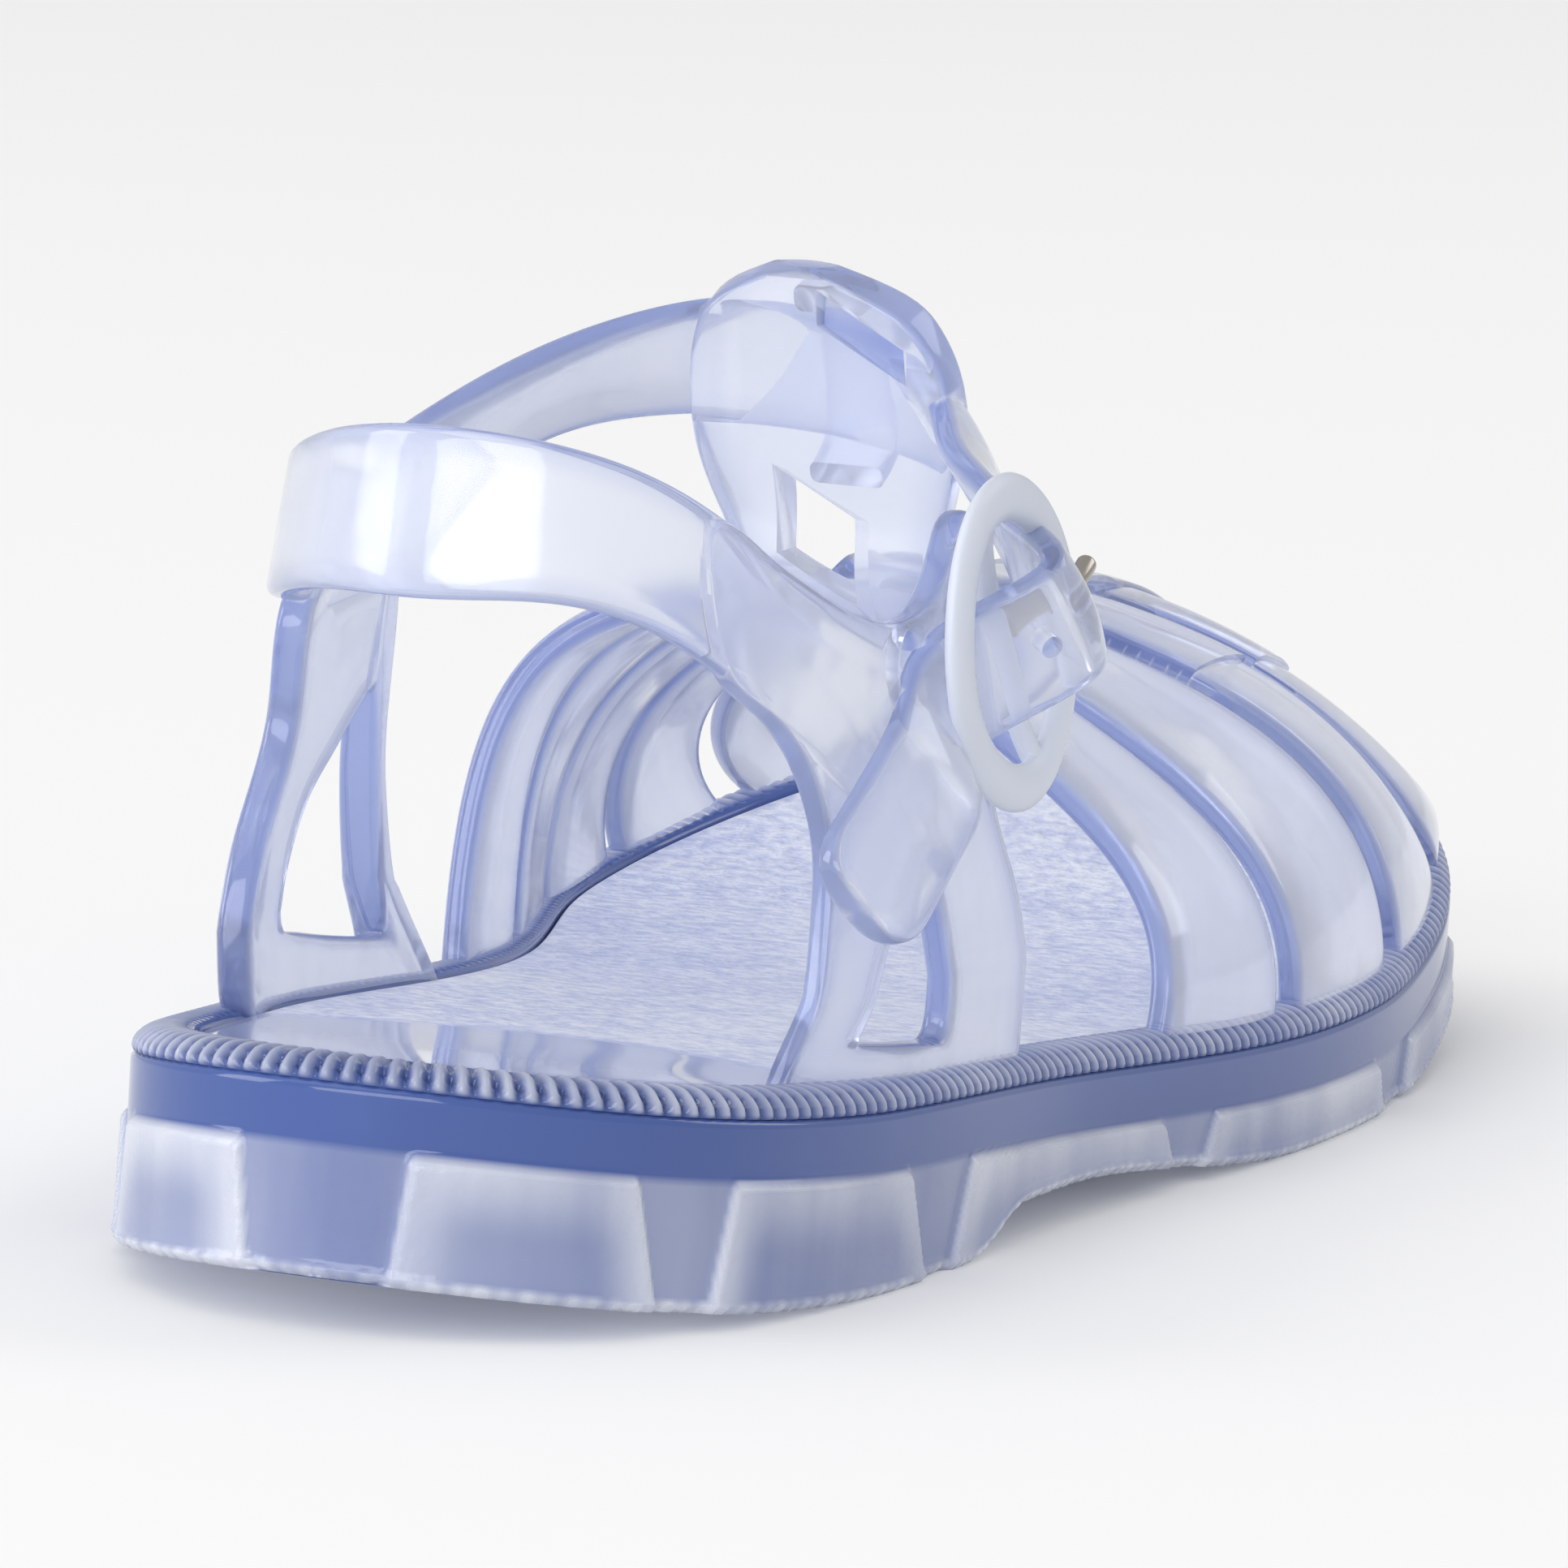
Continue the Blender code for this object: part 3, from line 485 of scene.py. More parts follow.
def tread_height(y):
    """Underside: raised rear, flat heel, step up to the arch, flat ball and sprung toe."""
    arch = smooth((y - BREAST) / BREAST_RUN) * (1.0 - smooth((y - ARCH_FROM) / (ARCH_TO - ARCH_FROM)))
    return heel_rise(y) + ARCH_RISE * arch + toe_spring(y)


def edge_height(y):
    """Top of the outsole's side: an eased fall from heel to forefoot plus the rises of rear and toe."""
    fall = smooth((y - DROP_FROM) / (DROP_TO - DROP_FROM))
    return HEEL_EDGE + (FORE_EDGE - HEEL_EDGE) * fall + heel_rise(y) + toe_spring(y)


def cubic(rows, at):
    """Natural cubic curve through rows of (parameter, values...), read at the given parameters."""
    rows = np.asarray(rows, float)
    t = rows[:, 0]
    values = rows[:, 1:]
    count = len(t)
    step = np.diff(t)
    slope = np.diff(values, axis=0) / step[:, None]
    inner = np.arange(1, count - 1)
    matrix = np.eye(count)
    matrix[inner, inner - 1] = step[:-1]
    matrix[inner, inner] = 2.0 * (step[:-1] + step[1:])
    matrix[inner, inner + 1] = step[1:]
    right = np.zeros_like(values)
    right[1:-1] = 6.0 * np.diff(slope, axis=0)
    bend = np.linalg.solve(matrix, right)
    at = np.asarray(at, float)
    k = np.clip(np.searchsorted(t, at) - 1, 0, count - 2)
    h = step[k][:, None]
    a = ((t[k + 1] - at) / step[k])[:, None]
    b = 1.0 - a
    bow = (a ** 3 - a) * bend[k] + (b ** 3 - b) * bend[k + 1]
    return a * values[k] + b * values[k + 1] + bow * h * h / 6.0


def unit(vectors):
    """Vectors on the last axis, each at a length of one."""
    return vectors / np.linalg.norm(vectors, axis=-1, keepdims=True)


def running_length(points):
    """Length of a line of points from its start to each of them."""
    gaps = np.linalg.norm(np.diff(points, axis=0), axis=1)
    return np.concatenate([[0.0], np.cumsum(gaps)])


def along(points, count, crowd=1.0):
    """Walk along a cubic curve through the points; a crowd above 1 takes shorter steps towards the end."""
    points = np.asarray(points, float)
    reach = running_length(points[:, :3])
    left = np.linspace(1.0, 0.0, count) ** crowd
    return cubic(np.column_stack([reach, points]), reach[-1] * (1.0 - left))


class SoleEdge:
    """The sole's outline as a closed cubic curve, kept as two halves walked from the rear to the toe."""

    SAMPLES = 4000

    def __init__(self):
        rear = [(0.0, 0.0)]
        toe = [(TOE_X, LENGTH)]
        lateral = [(wide, station) for station, wide, _ in OUTLINE]
        medial = [(-wide, station) for station, _, wide in OUTLINE]
        loop = rear + lateral + toe + medial[::-1]
        laps = np.asarray(loop + loop + loop + rear, float)
        reach = running_length(laps)
        start = reach[len(loop)]
        tip = reach[len(loop) + len(lateral) + 1]
        end = reach[2 * len(loop)]
        rows = np.column_stack([reach, laps])
        there = cubic(rows, np.linspace(start, tip, self.SAMPLES))
        back = cubic(rows, np.linspace(tip, end, self.SAMPLES))
        line = np.concatenate([there, back[1:-1]])
        ahead = np.roll(line, -1, axis=0) - np.roll(line, 1, axis=0)
        inward = unit(np.column_stack([-ahead[:, 1], ahead[:, 0]]))
        order = np.arange(len(line))
        halves = {LATERAL: order[:self.SAMPLES],
                  MEDIAL: np.concatenate([order[:1], order[:self.SAMPLES - 2:-1]])}
        self.runs = {side: (running_length(line[half]), line[half], inward[half])
                     for side, half in halves.items()}

    def length(self, side):
        return self.runs[side][0][-1]

    def walk(self, side, share, inset):
        """Points at shares of the half's length, moved inwards, for arrays of any shape."""
        reach, points, inward = self.runs[side]
        share, inset = np.broadcast_arrays(np.asarray(share, float), np.asarray(inset, float))
        at = np.clip(share, 0.0, 1.0) * reach[-1]
        edge = np.stack([np.interp(at, reach, values) for values in points.T], axis=-1)
        way = np.stack([np.interp(at, reach, values) for values in inward.T], axis=-1)
        return edge + way * inset[..., None]

    def at_station(self, side, station, inset):
        """Points of one half at distances along the foot, moved inwards."""
        reach, points, _ = self.runs[side]
        return self.walk(side, np.interp(station, points[:, 1], reach) / reach[-1], inset)


EDGE = SoleEdge()


def grid_faces(rows, columns, wrap_rows, wrap_columns):
    """Quads of a grid of rows by columns, wrapped round where asked, as an array of corner indices."""
    index = np.arange(rows * columns).reshape(rows, columns)
    if wrap_rows:
        index = np.concatenate([index, index[:1]])
    if wrap_columns:
        index = np.concatenate([index, index[:, :1]], axis=1)
    quads = np.stack([index[:-1, :-1], index[:-1, 1:], index[1:, 1:], index[1:, :-1]], axis=-1)
    return quads.reshape(-1, 4)


def tube(rings):
    """Closed body from rings of points (rings, around, xyz): a wrapped grid and a fan on each end."""
    count, around, _ = rings.shape
    ends = np.stack([rings[0].mean(axis=0), rings[-1].mean(axis=0)])
    verts = np.concatenate([rings.reshape(-1, 3), ends])
    first = np.arange(around)
    last = first + (count - 1) * around
    middle = count * around
    fans = [np.column_stack([np.full(around, middle), np.roll(first, -1), first]),
            np.column_stack([np.full(around, middle + 1), last, np.roll(last, -1)])]
    return verts, [grid_faces(count, around, False, True), *fans]


def outward(verts, faces):
    """Turn every face over when the body's signed volume is negative."""
    total = 0.0
    for group in faces:
        for k in range(1, group.shape[1] - 1):
            a, b, c = verts[group[:, 0]], verts[group[:, k]], verts[group[:, k + 1]]
            total += (np.cross(a, b) * c).sum()
    return [group[:, ::-1] for group in faces] if total < 0.0 else faces


def add_mesh(name, verts, faces):
    """Mesh object at the origin from working millimetres."""
    mesh = bpy.data.meshes.new(name)
    polygons = [polygon for group in outward(verts, faces) for polygon in group.tolist()]
    mesh.from_pydata(((verts + ORIGIN) * MM).tolist(), [], polygons)
    mesh.validate()
    mesh.shade_smooth()
    piece = bpy.data.objects.new(name, mesh)
    bpy.context.scene.collection.objects.link(piece)
    return piece


def add_grid(name, grid, wrap_rows, wrap_columns):
    """Mesh object from a grid of places (rows, columns, xyz), wrapped round where asked."""
    rows, columns, _ = grid.shape
    return add_mesh(name, grid.reshape(-1, 3), [grid_faces(rows, columns, wrap_rows, wrap_columns)])


def applied(piece):
    """Take the modifiers' result into the piece's mesh."""
    graph = bpy.context.evaluated_depsgraph_get()
    result = bpy.data.meshes.new_from_object(piece.evaluated_get(graph))
    piece.modifiers.clear()
    old = piece.data
    piece.data = result
    bpy.data.meshes.remove(old)
    return piece


def combine(piece, other, operation):
    """Boolean of two closed bodies: the result stays in the piece and the other is removed."""
    modifier = piece.modifiers.new("combine", "BOOLEAN")
    modifier.operation = operation
    modifier.solver = "MANIFOLD"
    modifier.object = other
    applied(piece)
    bpy.data.objects.remove(other)


def weld(piece):
    """Merge the points that meet at the rear and at the toe."""
    modifier = piece.modifiers.new("merge", "WELD")
    modifier.merge_threshold = WELD_DISTANCE
    applied(piece)
    piece.data.shade_smooth()


def pass_light(piece):
    """Clear PVC lets most light through, so it shades what lies behind it only by its own tint."""
    piece.visible_shadow = False


def dress(piece, node, material):
    """Give the piece its material and its body, and hide the node that it stands for."""
    piece.data.materials.clear()
    piece.data.materials.append(material)
    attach(piece, "root")
    if node:
        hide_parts(node)


def linear(code):
    """sRGB hex value to linear RGBA."""
    value = np.array([int(code[i:i + 2], 16) for i in (1, 3, 5)]) / 255.0
    value = np.where(value <= 0.04045, value / 12.92, ((value + 0.055) / 1.055) ** 2.4)
    return (*value.tolist(), 1.0)


def per_metre(size):
    """Scale of a pattern whose marks have this size in millimetres."""
    return 1.0 / (size * MM)


def add_node(tree, kind, inputs=None, **settings):
    """Add a shader node and set its properties; an input is a value, a socket, or a node's first output."""
    node = tree.nodes.new("ShaderNode" + kind)
    for key, value in settings.items():
        setattr(node, key, value)
    for key, value in (inputs or {}).items():
        if isinstance(value, bpy.types.Node):
            value = next(socket for socket in value.outputs if socket.enabled)
        if isinstance(value, bpy.types.NodeSocket):
            tree.links.new(value, node.inputs[key])
        else:
            node.inputs[key].default_value = value
    return node


def new_material(name):
    """Material with an empty node tree, and the socket of the piece's own coordinates."""
    material = bpy.data.materials.new(name)
    material.use_nodes = True
    tree = material.node_tree
    tree.nodes.clear()
    return material, tree, add_node(tree, "TexCoord").outputs["Object"]


def strap_section(flat_out=9, flat_in=4, corner=5):
    """Closed section of a band, a row per point.

    The columns are the share of the flat across, the corner's part across, the share of the flat out, the
    corner's part out, and the dome. A rectangle with rounded corners is walked once: outside face, edge,
    inside face, edge. The dome is one less the square of the place across, on the outside only.
    """
    rows = []
    for flat, side in ((flat_out, 1.0), (flat_in, -1.0)):
        place = side * np.linspace(-1.0, 1.0, flat + 2)[1:-1]
        dome = (1.0 - place ** 2) * (side > 0.0)
        rows.append(np.column_stack([place, 0.0 * place, np.full(flat, side), np.full(flat, side), dome]))
        for start in (0.0, 0.5):
            turn = np.linspace(start, start + 0.5, corner) * np.pi * CORNER_TURN
            across = side * np.sin(turn)
            up = side * np.cos(turn)
            level = np.full(corner, side if start == 0.0 else -side)
            rows.append(np.column_stack([np.full(corner, side), across, level, up, 0.0 * turn]))
    return np.concatenate(rows)


SECTION = strap_section()

# How near each point of the section is to the band's edge, 0 to 1; this sets the painted edge shade
FLAT_SHADE_SHARE = np.clip((np.abs(SECTION[:, 0]) - FLAT_EDGE_SHADE_FROM) / (1.0 - FLAT_EDGE_SHADE_FROM), 0.0, 1.0)
EDGE_SHADE_SHARE = np.maximum(np.abs(SECTION[:, 1]), FLAT_EDGE_SHADE * FLAT_SHADE_SHARE)


def strap_rings(rear, front, wall, crown, radius=STRAP_CORNER):
    """Band between two edge curves: the section set square to the path, its outside raised by the crown."""
    middle = (rear + front) / 2.0
    half = (front - rear) / 2.0
    reach = np.linalg.norm(half, axis=1)[:, None]
    side = half / reach
    normal = unit(np.cross(np.gradient(middle, axis=0), half))
    core = middle * (0.0, 1.0, 0.0) + (0.0, CORE_AHEAD, CORE_HEIGHT)
    normal *= np.sign(((middle - core) * normal).sum())
    wall = np.broadcast_to(np.asarray(wall, float), (len(middle),))[:, None]
    flat, across, level, up, dome = SECTION.T
    over = flat * (reach - radius) + radius * across
    out = level * (wall / 2.0 - radius) + radius * up + crown * dome
    return middle[:, None] + side[:, None] * over[..., None] + normal[:, None] * out[..., None]


def strap_body(name, rings, closed=False):
    """Closed body of strap rings that keeps each point's nearness to the edge for the finish to read as
    painted edge shade.
    """
    edge = np.tile(EDGE_SHADE_SHARE, len(rings))
    if closed:
        piece = add_grid(name, rings, True, True)
    else:
        piece = add_mesh(name, *tube(rings))
        edge = np.concatenate([edge, [1.0, 1.0]])
    set_attribute(piece, "edge", edge)
    return piece


def cutter(rings):
    """Body to cut with, whose walls count as edges for the finish's painted edge shade."""
    piece = add_mesh("cutter", *tube(rings))
    set_attribute(piece, "edge", np.ones(len(piece.data.vertices)))
    return piece


def vamp_curve(side, station, share):
    """Places on the vamp: at each station a cubic curve from the welt (share 0) to the crest (share 1)."""
    columns = cubic(VAMP, station)
    crest = np.column_stack([columns[:, 0], station, columns[:, 1]])
    wall, reach, fall = columns[:, 2:5].T if side == LATERAL else columns[:, 5:8].T
    foot = EDGE.at_station(side, station, FOOT_INSET)
    none = np.zeros(len(station))
    p0 = np.column_stack([foot[:, 0], station, edge_height(station) + FOOT_SINK])
    p1 = p0 + np.column_stack([none + side, none, wall])
    p2 = crest + np.column_stack([side * reach, none, -fall])
    u = np.asarray(share, float)[:, None]
    v = 1.0 - u
    return v ** 3 * p0 + 3.0 * v * v * u * p1 + 3.0 * v * u * u * p2 + u ** 3 * crest


def vamp_strap(row, first, last, wall):
    """Strap between two lines that run straight in station from their welt place to their crest place."""
    side, welt_rear, welt_front, crest_rear, crest_front = row
    share = np.linspace(first, last, 48)
    rear = vamp_curve(side, welt_rear + (crest_rear - welt_rear) * share, share)
    front = vamp_curve(side, welt_front + (crest_front - welt_front) * share, share)
    return strap_rings(rear, front, wall, sizes().strap_crown)


def centre_strip():
    """Strip along the crest from the tab to the toe of the welt."""
    station = np.linspace(STRIP_FROM, STRIP_TO, 24)
    columns = cubic(VAMP, station)
    line = np.column_stack([columns[:, 0], station, columns[:, 1]])
    toe = EDGE.walk(LATERAL, 1.0, FOOT_INSET)
    foot = np.array([[toe[0], toe[1], edge_height(LENGTH) + FOOT_SINK]])
    line = along(np.concatenate([line, foot]), 90)
    half = np.array([STRIP_HALF, 0.0, 0.0])
    return strap_rings(line - half, line + half, STRIP_WALL, sizes().strap_crown)


def cage_wall(side, station, height):
    """Rear cage at a station and height: an oval in plan that leans in as it rises."""
    behind = np.clip((CAGE_CENTRE_Y - station) / CAGE_HALF_Y, 0.0, 0.999)
    half_x, lean, spread = CAGE[side]
    half = half_x * np.sqrt(1.0 - behind ** 2) + spread * np.clip(station - CAGE_CENTRE_Y, 0.0, None)
    tuck = FOOT_TUCK * np.clip(FOOT_TUCK_FROM - height, 0.0, None)
    return np.stack([side * (half + lean * (CAGE_LEVEL - height) - tuck), station, height], axis=-1)


def heel_band():
    """Band round the oval between its lower and upper edge heights by angle."""
    angle = np.linspace(HEEL_BAND[0][0], HEEL_BAND[-1][0], 110)
    low, high = cubic(HEEL_BAND, angle).T
    turn = np.radians(angle)
    half_x = np.where(angle > 0.0, CAGE[LATERAL][0], CAGE[MEDIAL][0])
    edges = []
    for height in (low, high):
        lean = CAGE[LATERAL][1] * (CAGE_LEVEL - height)
        edges.append(np.column_stack([(half_x + lean) * np.sin(turn),
                                      CAGE_CENTRE_Y - (CAGE_HALF_Y + lean) * np.cos(turn), height]))
    return strap_rings(edges[0], edges[1], sizes().strap_wall, 0.0)


def post_sheet(side, rows):
    """Sheet on the cage wall between the post's outer edge and its window, once round as a closed curve."""
    rows = np.asarray(rows, float)
    count = len(rows)
    overlap = 3
    index = np.arange(-overlap, count + overlap)
    table = np.column_stack([index, rows[index % count]])
    steps = 6 * count
    outer_y, outer_z, inner_y, inner_z, wall = cubic(table, np.arange(steps) * count / steps).T[..., None]
    reach = np.hypot(inner_y - outer_y, inner_z - outer_z) / 2.0
    flat, across, level, up, _ = SECTION.T
    share = (flat * (reach - STRAP_CORNER) + STRAP_CORNER * across) / reach
    station = (outer_y + inner_y) / 2.0 + (inner_y - outer_y) / 2.0 * share
    height = (outer_z + inner_z) / 2.0 + (inner_z - outer_z) / 2.0 * share
    step = 0.1
    along_y = cage_wall(side, station + step, height) - cage_wall(side, station - step, height)
    along_z = cage_wall(side, station, height + step) - cage_wall(side, station, height - step)
    normal = unit(side * np.cross(along_y, along_z))
    out = level * (wall / 2.0 - STRAP_CORNER) + STRAP_CORNER * up
    return cage_wall(side, station, height) + normal * out[..., None]


def quarter_slot():
    """Oval rod square through the lateral quarter."""
    station, height, half, flat = QUARTER_SLOT
    x = CAGE[LATERAL][0] + np.linspace(*QUARTER_REACH, 5)
    path = np.column_stack([x, np.full(5, station), np.full(5, height)])
    return rod(path, half, flat, np.array([0.0, 1.0, 0.0]), 28)


def ankle_line(count):
    """Middle line of the ankle strap and the direction of its width, in ever shorter steps."""
    line = along(ANKLE, count, ANKLE_CROWD)
    return line[:, :3], unit(line[:, 3:6])


def ankle_strap():
    """Strap along its middle line, its half width closing on a quarter of a full oval at the tail."""
    line, width = ankle_line(200)
    from_tip = np.linalg.norm(line - line[-1], axis=1)
    short = 1.0 - np.clip(from_tip / TAIL_ROUND, 0.0, 1.0)
    round_end = (1.0 - short ** TAIL_POWER) ** (1.0 / TAIL_POWER)
    half = (ANKLE_TIP_HALF + (ANKLE_HALF - ANKLE_TIP_HALF) * round_end)[:, None]
    return strap_rings(line - width * half, line + width * half, sizes().strap_wall, sizes().strap_crown)


def tab_leaf():
    """Leaf whose middle, half width and thickness follow its height."""
    rows = np.asarray(TAB)
    height = np.linspace(rows[0, 0], rows[-1, 0], 60)
    middle_x, station, half, thickness = cubic(rows, height).T
    middle = np.column_stack([middle_x, station, height])
    side = np.column_stack([half, 0.0 * half, 0.0 * half])
    return strap_rings(middle - side, middle + side, thickness, TAB_CROWN)


def tab_loop():
    """Band over the strap on the tab's toe side."""
    line = along(TAB_LOOP, 50)
    half = np.array([LOOP_HALF, 0.0, 0.0])
    return strap_rings(line - half, line + half, LOOP_WALL, 0.0, LOOP_CORNER)


def strap_hole(place):
    """Short rod square through the strap at its middle point nearest to the place."""
    line, width = ankle_line(400)
    k = np.linalg.norm(line - np.array(place), axis=1).argmin()
    out = unit(np.cross(line[k + 1] - line[k - 1], width[k]))
    path = line[k] + np.linspace(-HOLE_REACH, HOLE_REACH, 5)[:, None] * out
    return rod(path, HOLE_RADIUS, 1.0, width[k], 20)


def block(row):
    """Block by its middle, width and height, its top and bottom falling evenly towards the lateral side."""
    x, y, z, width, height, fall = row
    half = np.array([width, SLOT_DEPTH, height]) / 2.0
    signs = np.array([(-1, -1), (1, -1), (1, 1), (-1, 1)], float)
    across = signs[:, 0] * half[0]
    ring = np.column_stack([across, np.zeros(4), signs[:, 1] * half[2] - fall * across])
    step = np.array([0.0, half[1], 0.0])
    return np.stack([ring - step, ring + step]) + np.array([x, y, z])


def rod(path, radius, flat, axis, around, closed=False):
    """Rings of an oval section along a path, squeezed along the given axis."""
    ahead = np.roll(path, -1, axis=0) - np.roll(path, 1, axis=0) if closed else np.gradient(path, axis=0)
    tangent = unit(ahead)
    side = unit(np.cross(tangent, axis))
    lift = np.cross(side, tangent)
    turn = np.linspace(0.0, 2.0 * np.pi, around, endpoint=False)[None, :, None]
    radius = np.broadcast_to(np.asarray(radius, float), (len(path),))[:, None, None]
    return path[:, None] + radius * (side[:, None] * np.cos(turn) + lift[:, None] * flat * np.sin(turn))


def buckle_axes():
    """Directions along the strap, across it and outwards, at the bar."""
    ahead = unit(BUCKLE_ALONG)
    across = unit(BUCKLE_ACROSS - ahead * (BUCKLE_ACROSS @ ahead))
    return ahead, across, np.cross(ahead, across)


def prong_path(count):
    """From the bar forward behind the strap, out through its hole and onto the frame's front."""
    ahead, across, out = buckle_axes()
    bar = FRAME_OUT - BAR_DIP
    start = BAR_RADIUS + PRONG_RADIUS + SEAT
    arc = FRAME_OUT + FRAME_RADIUS * FRAME_FLAT + PRONG_RADIUS + SEAT
    way = [(reach * BUCKLE_HALF_LONG, bar + (arc - bar) * rise) for reach, rise in PRONG_WAY]
    rows = np.array([(start, bar), *way, (BUCKLE_HALF_LONG + PRONG_PAST, arc)])
    points = BUCKLE_MIDDLE + rows[:, :1] * ahead + rows[:, 1:] * out
    return along(points, count), across


def clear_pvc():
    """Plasticised PVC, injection moulded clear with a breath of blue.

    Faces read as pale, slightly milky lavender, because a little light is scattered. Edges gather blue,
    because red is absorbed along the longer way; the volume gives part of it, and the rest is painted shade,
    blue mixed into the colour along the edges. The mould's polish is uneven, so gloss is soft in patches.
    """
    material, tree, place = new_material("clear_pvc_moulded")
    patches = add_node(tree, "TexNoise", {"Vector": place, "Scale": per_metre(14.29), "Detail": 2.0})
    gloss = add_node(tree, "MapRange", {"Value": patches, "To Min": 0.04, "To Max": 0.16})
    ripple = add_node(tree, "Bump", {"Height": patches, "Strength": 0.2, "Distance": 1.0 * MM})
    # Painted edge shade: the edge colour mixed in by nearness to an edge or a cut wall
    edge = add_node(tree, "Attribute", attribute_name="edge").outputs["Fac"]
    tint = add_node(tree, "MapRange", {"Value": edge, "From Min": 0.1, "From Max": 0.9})
    colour = add_node(tree, "Mix", {
        "Factor": tint, "A": linear(colours().pvc_surface), "B": linear(colours().pvc_edge)},
        data_type="RGBA")
    shader = add_node(tree, "BsdfPrincipled", {
        "Base Color": colour, "Transmission Weight": 0.76, "IOR": 1.42, "Roughness": gloss, "Normal": ripple,
        "Coat Weight": 0.25, "Coat Roughness": 0.2, "Coat IOR": 1.5})
    depth = add_node(tree, "VolumeAbsorption", {"Color": linear(colours().pvc_depth), "Density": 8.0})
    add_node(tree, "OutputMaterial", {"Surface": shader, "Volume": depth})
    return material


def sole_pvc():
    """The same PVC in the thick sole: polished band and ribs, etched panels.

    So much plastic scatters the light back before it leaves, so the sole reads as solid blue under gloss.
    Etched panels are paler, and where the sole is pale, cloudy streaks of painted light and shade stand in
    for light that gathers inside.
    """
    material, tree, place = new_material("tinted_pvc_moulded")
    etch_and_painted_light = add_node(tree, "Attribute", attribute_name="etch_and_painted_light").outputs["Fac"]
    upright = add_node(tree, "Mapping", {"Vector": place, "Scale": (1.0, 1.0, 0.22)})
    cloud = add_node(tree, "TexNoise", {"Vector": upright, "Scale": per_metre(20.83), "Detail": 4.0})
    grit = add_node(tree, "TexNoise", {"Vector": place, "Scale": per_metre(1.111), "Detail": 3.0})
    # Painted light and shade: cloudy streaks, paler and bluer, where the sole is already pale
    painted_streaks = add_node(tree, "MapRange", {
        "Value": cloud, "From Min": 0.36, "From Max": 0.64, "To Min": -0.36, "To Max": 0.32})
    gated = add_node(tree, "Math", {0: etch_and_painted_light, 1: painted_streaks}, operation="MULTIPLY")
    pale = add_node(tree, "Math", {0: etch_and_painted_light, 1: gated}, operation="ADD", use_clamp=True)
    colour = add_node(tree, "Mix", {
        "Factor": pale, "A": linear(colours().sole_deep), "B": linear(colours().sole_etched)},
        data_type="RGBA")
    gloss = add_node(tree, "MapRange", {"Value": etch_and_painted_light, "To Min": 0.1, "To Max": 0.32})
    height = add_node(tree, "Math", {0: grit, 1: etch_and_painted_light}, operation="MULTIPLY")
    bump = add_node(tree, "Bump", {"Height": height, "Strength": 0.25, "Distance": 0.5 * MM})
    shader = add_node(tree, "BsdfPrincipled", {
        "Base Color": colour, "Transmission Weight": 0.25, "IOR": 1.48, "Roughness": gloss, "Normal": bump})
    add_node(tree, "OutputMaterial", {"Surface": shader})
    return material


def insole_pvc():
    """PVC footbed moulded against a leather-grained plate: pebbles of 1.8 mm, smooth under the heel.

    Low parts of the grain look into the blue sole and tops catch the light, so painted shade in the dips, a
    painted highlight on the tops and the relief follow it.
    """
    material, tree, place = new_material("grained_pvc_footbed")
    pebbles = add_node(tree, "TexNoise", {
        "Vector": place, "Scale": per_metre(1.786), "Detail": 2.0, "Roughness": 0.55})
    drift = add_node(tree, "TexNoise", {"Vector": place, "Scale": per_metre(16.67), "Detail": 2.0})
    grained = add_node(tree, "Attribute", attribute_name="grained").outputs["Fac"]
    height = add_node(tree, "Math", {0: pebbles, 1: grained}, operation="MULTIPLY")
    both = add_node(tree, "Mix", {"Factor": 0.3, "A": height, "B": drift}, data_type="FLOAT")
    # Painted shade and highlight by the grain's height, with a broad drift of tone at random
    grain_shade_and_tone = add_node(tree, "MapRange", {"Value": both, "From Min": 0.36, "From Max": 0.62})
    colour = add_node(tree, "Mix", {
        "Factor": grain_shade_and_tone, "A": linear(colours().bed_low), "B": linear(colours().bed_high)}, data_type="RGBA")
    bump = add_node(tree, "Bump", {"Height": height, "Strength": 0.7, "Distance": 0.8 * MM})
    gloss = add_node(tree, "MapRange", {"Value": grained, "To Min": 0.05, "To Max": 0.38})
    shader = add_node(tree, "BsdfPrincipled", {
        "Base Color": colour, "Transmission Weight": 0.1, "IOR": 1.5, "Roughness": gloss, "Normal": bump})
    add_node(tree, "OutputMaterial", {"Surface": shader})
    return material


def milky_plastic():
    """Acetal, moulded natural: milky and satin, light sinks a little way in."""
    material, tree, place = new_material("milky_acetal_moulded")
    cloud = add_node(tree, "TexNoise", {"Vector": place, "Scale": per_metre(3.846), "Detail": 2.0})
    gloss = add_node(tree, "MapRange", {"Value": cloud, "To Min": 0.32, "To Max": 0.5})
    shader = add_node(tree, "BsdfPrincipled", {
        "Base Color": linear(colours().buckle), "Transmission Weight": 0.25, "IOR": 1.48,
        "Roughness": gloss})
    add_node(tree, "OutputMaterial", {"Surface": shader})
    return material


def plated_steel():
    """Steel wire, nickel plated: a warm mirror with fine draw lines."""
    material, tree, place = new_material("nickel_plated_steel")
    lines = add_node(tree, "TexNoise", {"Vector": place, "Scale": per_metre(0.6667), "Detail": 2.0})
    gloss = add_node(tree, "MapRange", {"Value": lines, "To Min": 0.16, "To Max": 0.3})
    shader = add_node(tree, "BsdfPrincipled", {
        "Base Color": linear(colours().prong), "Metallic": 1.0, "Roughness": gloss})
    add_node(tree, "OutputMaterial", {"Surface": shader})
    return material


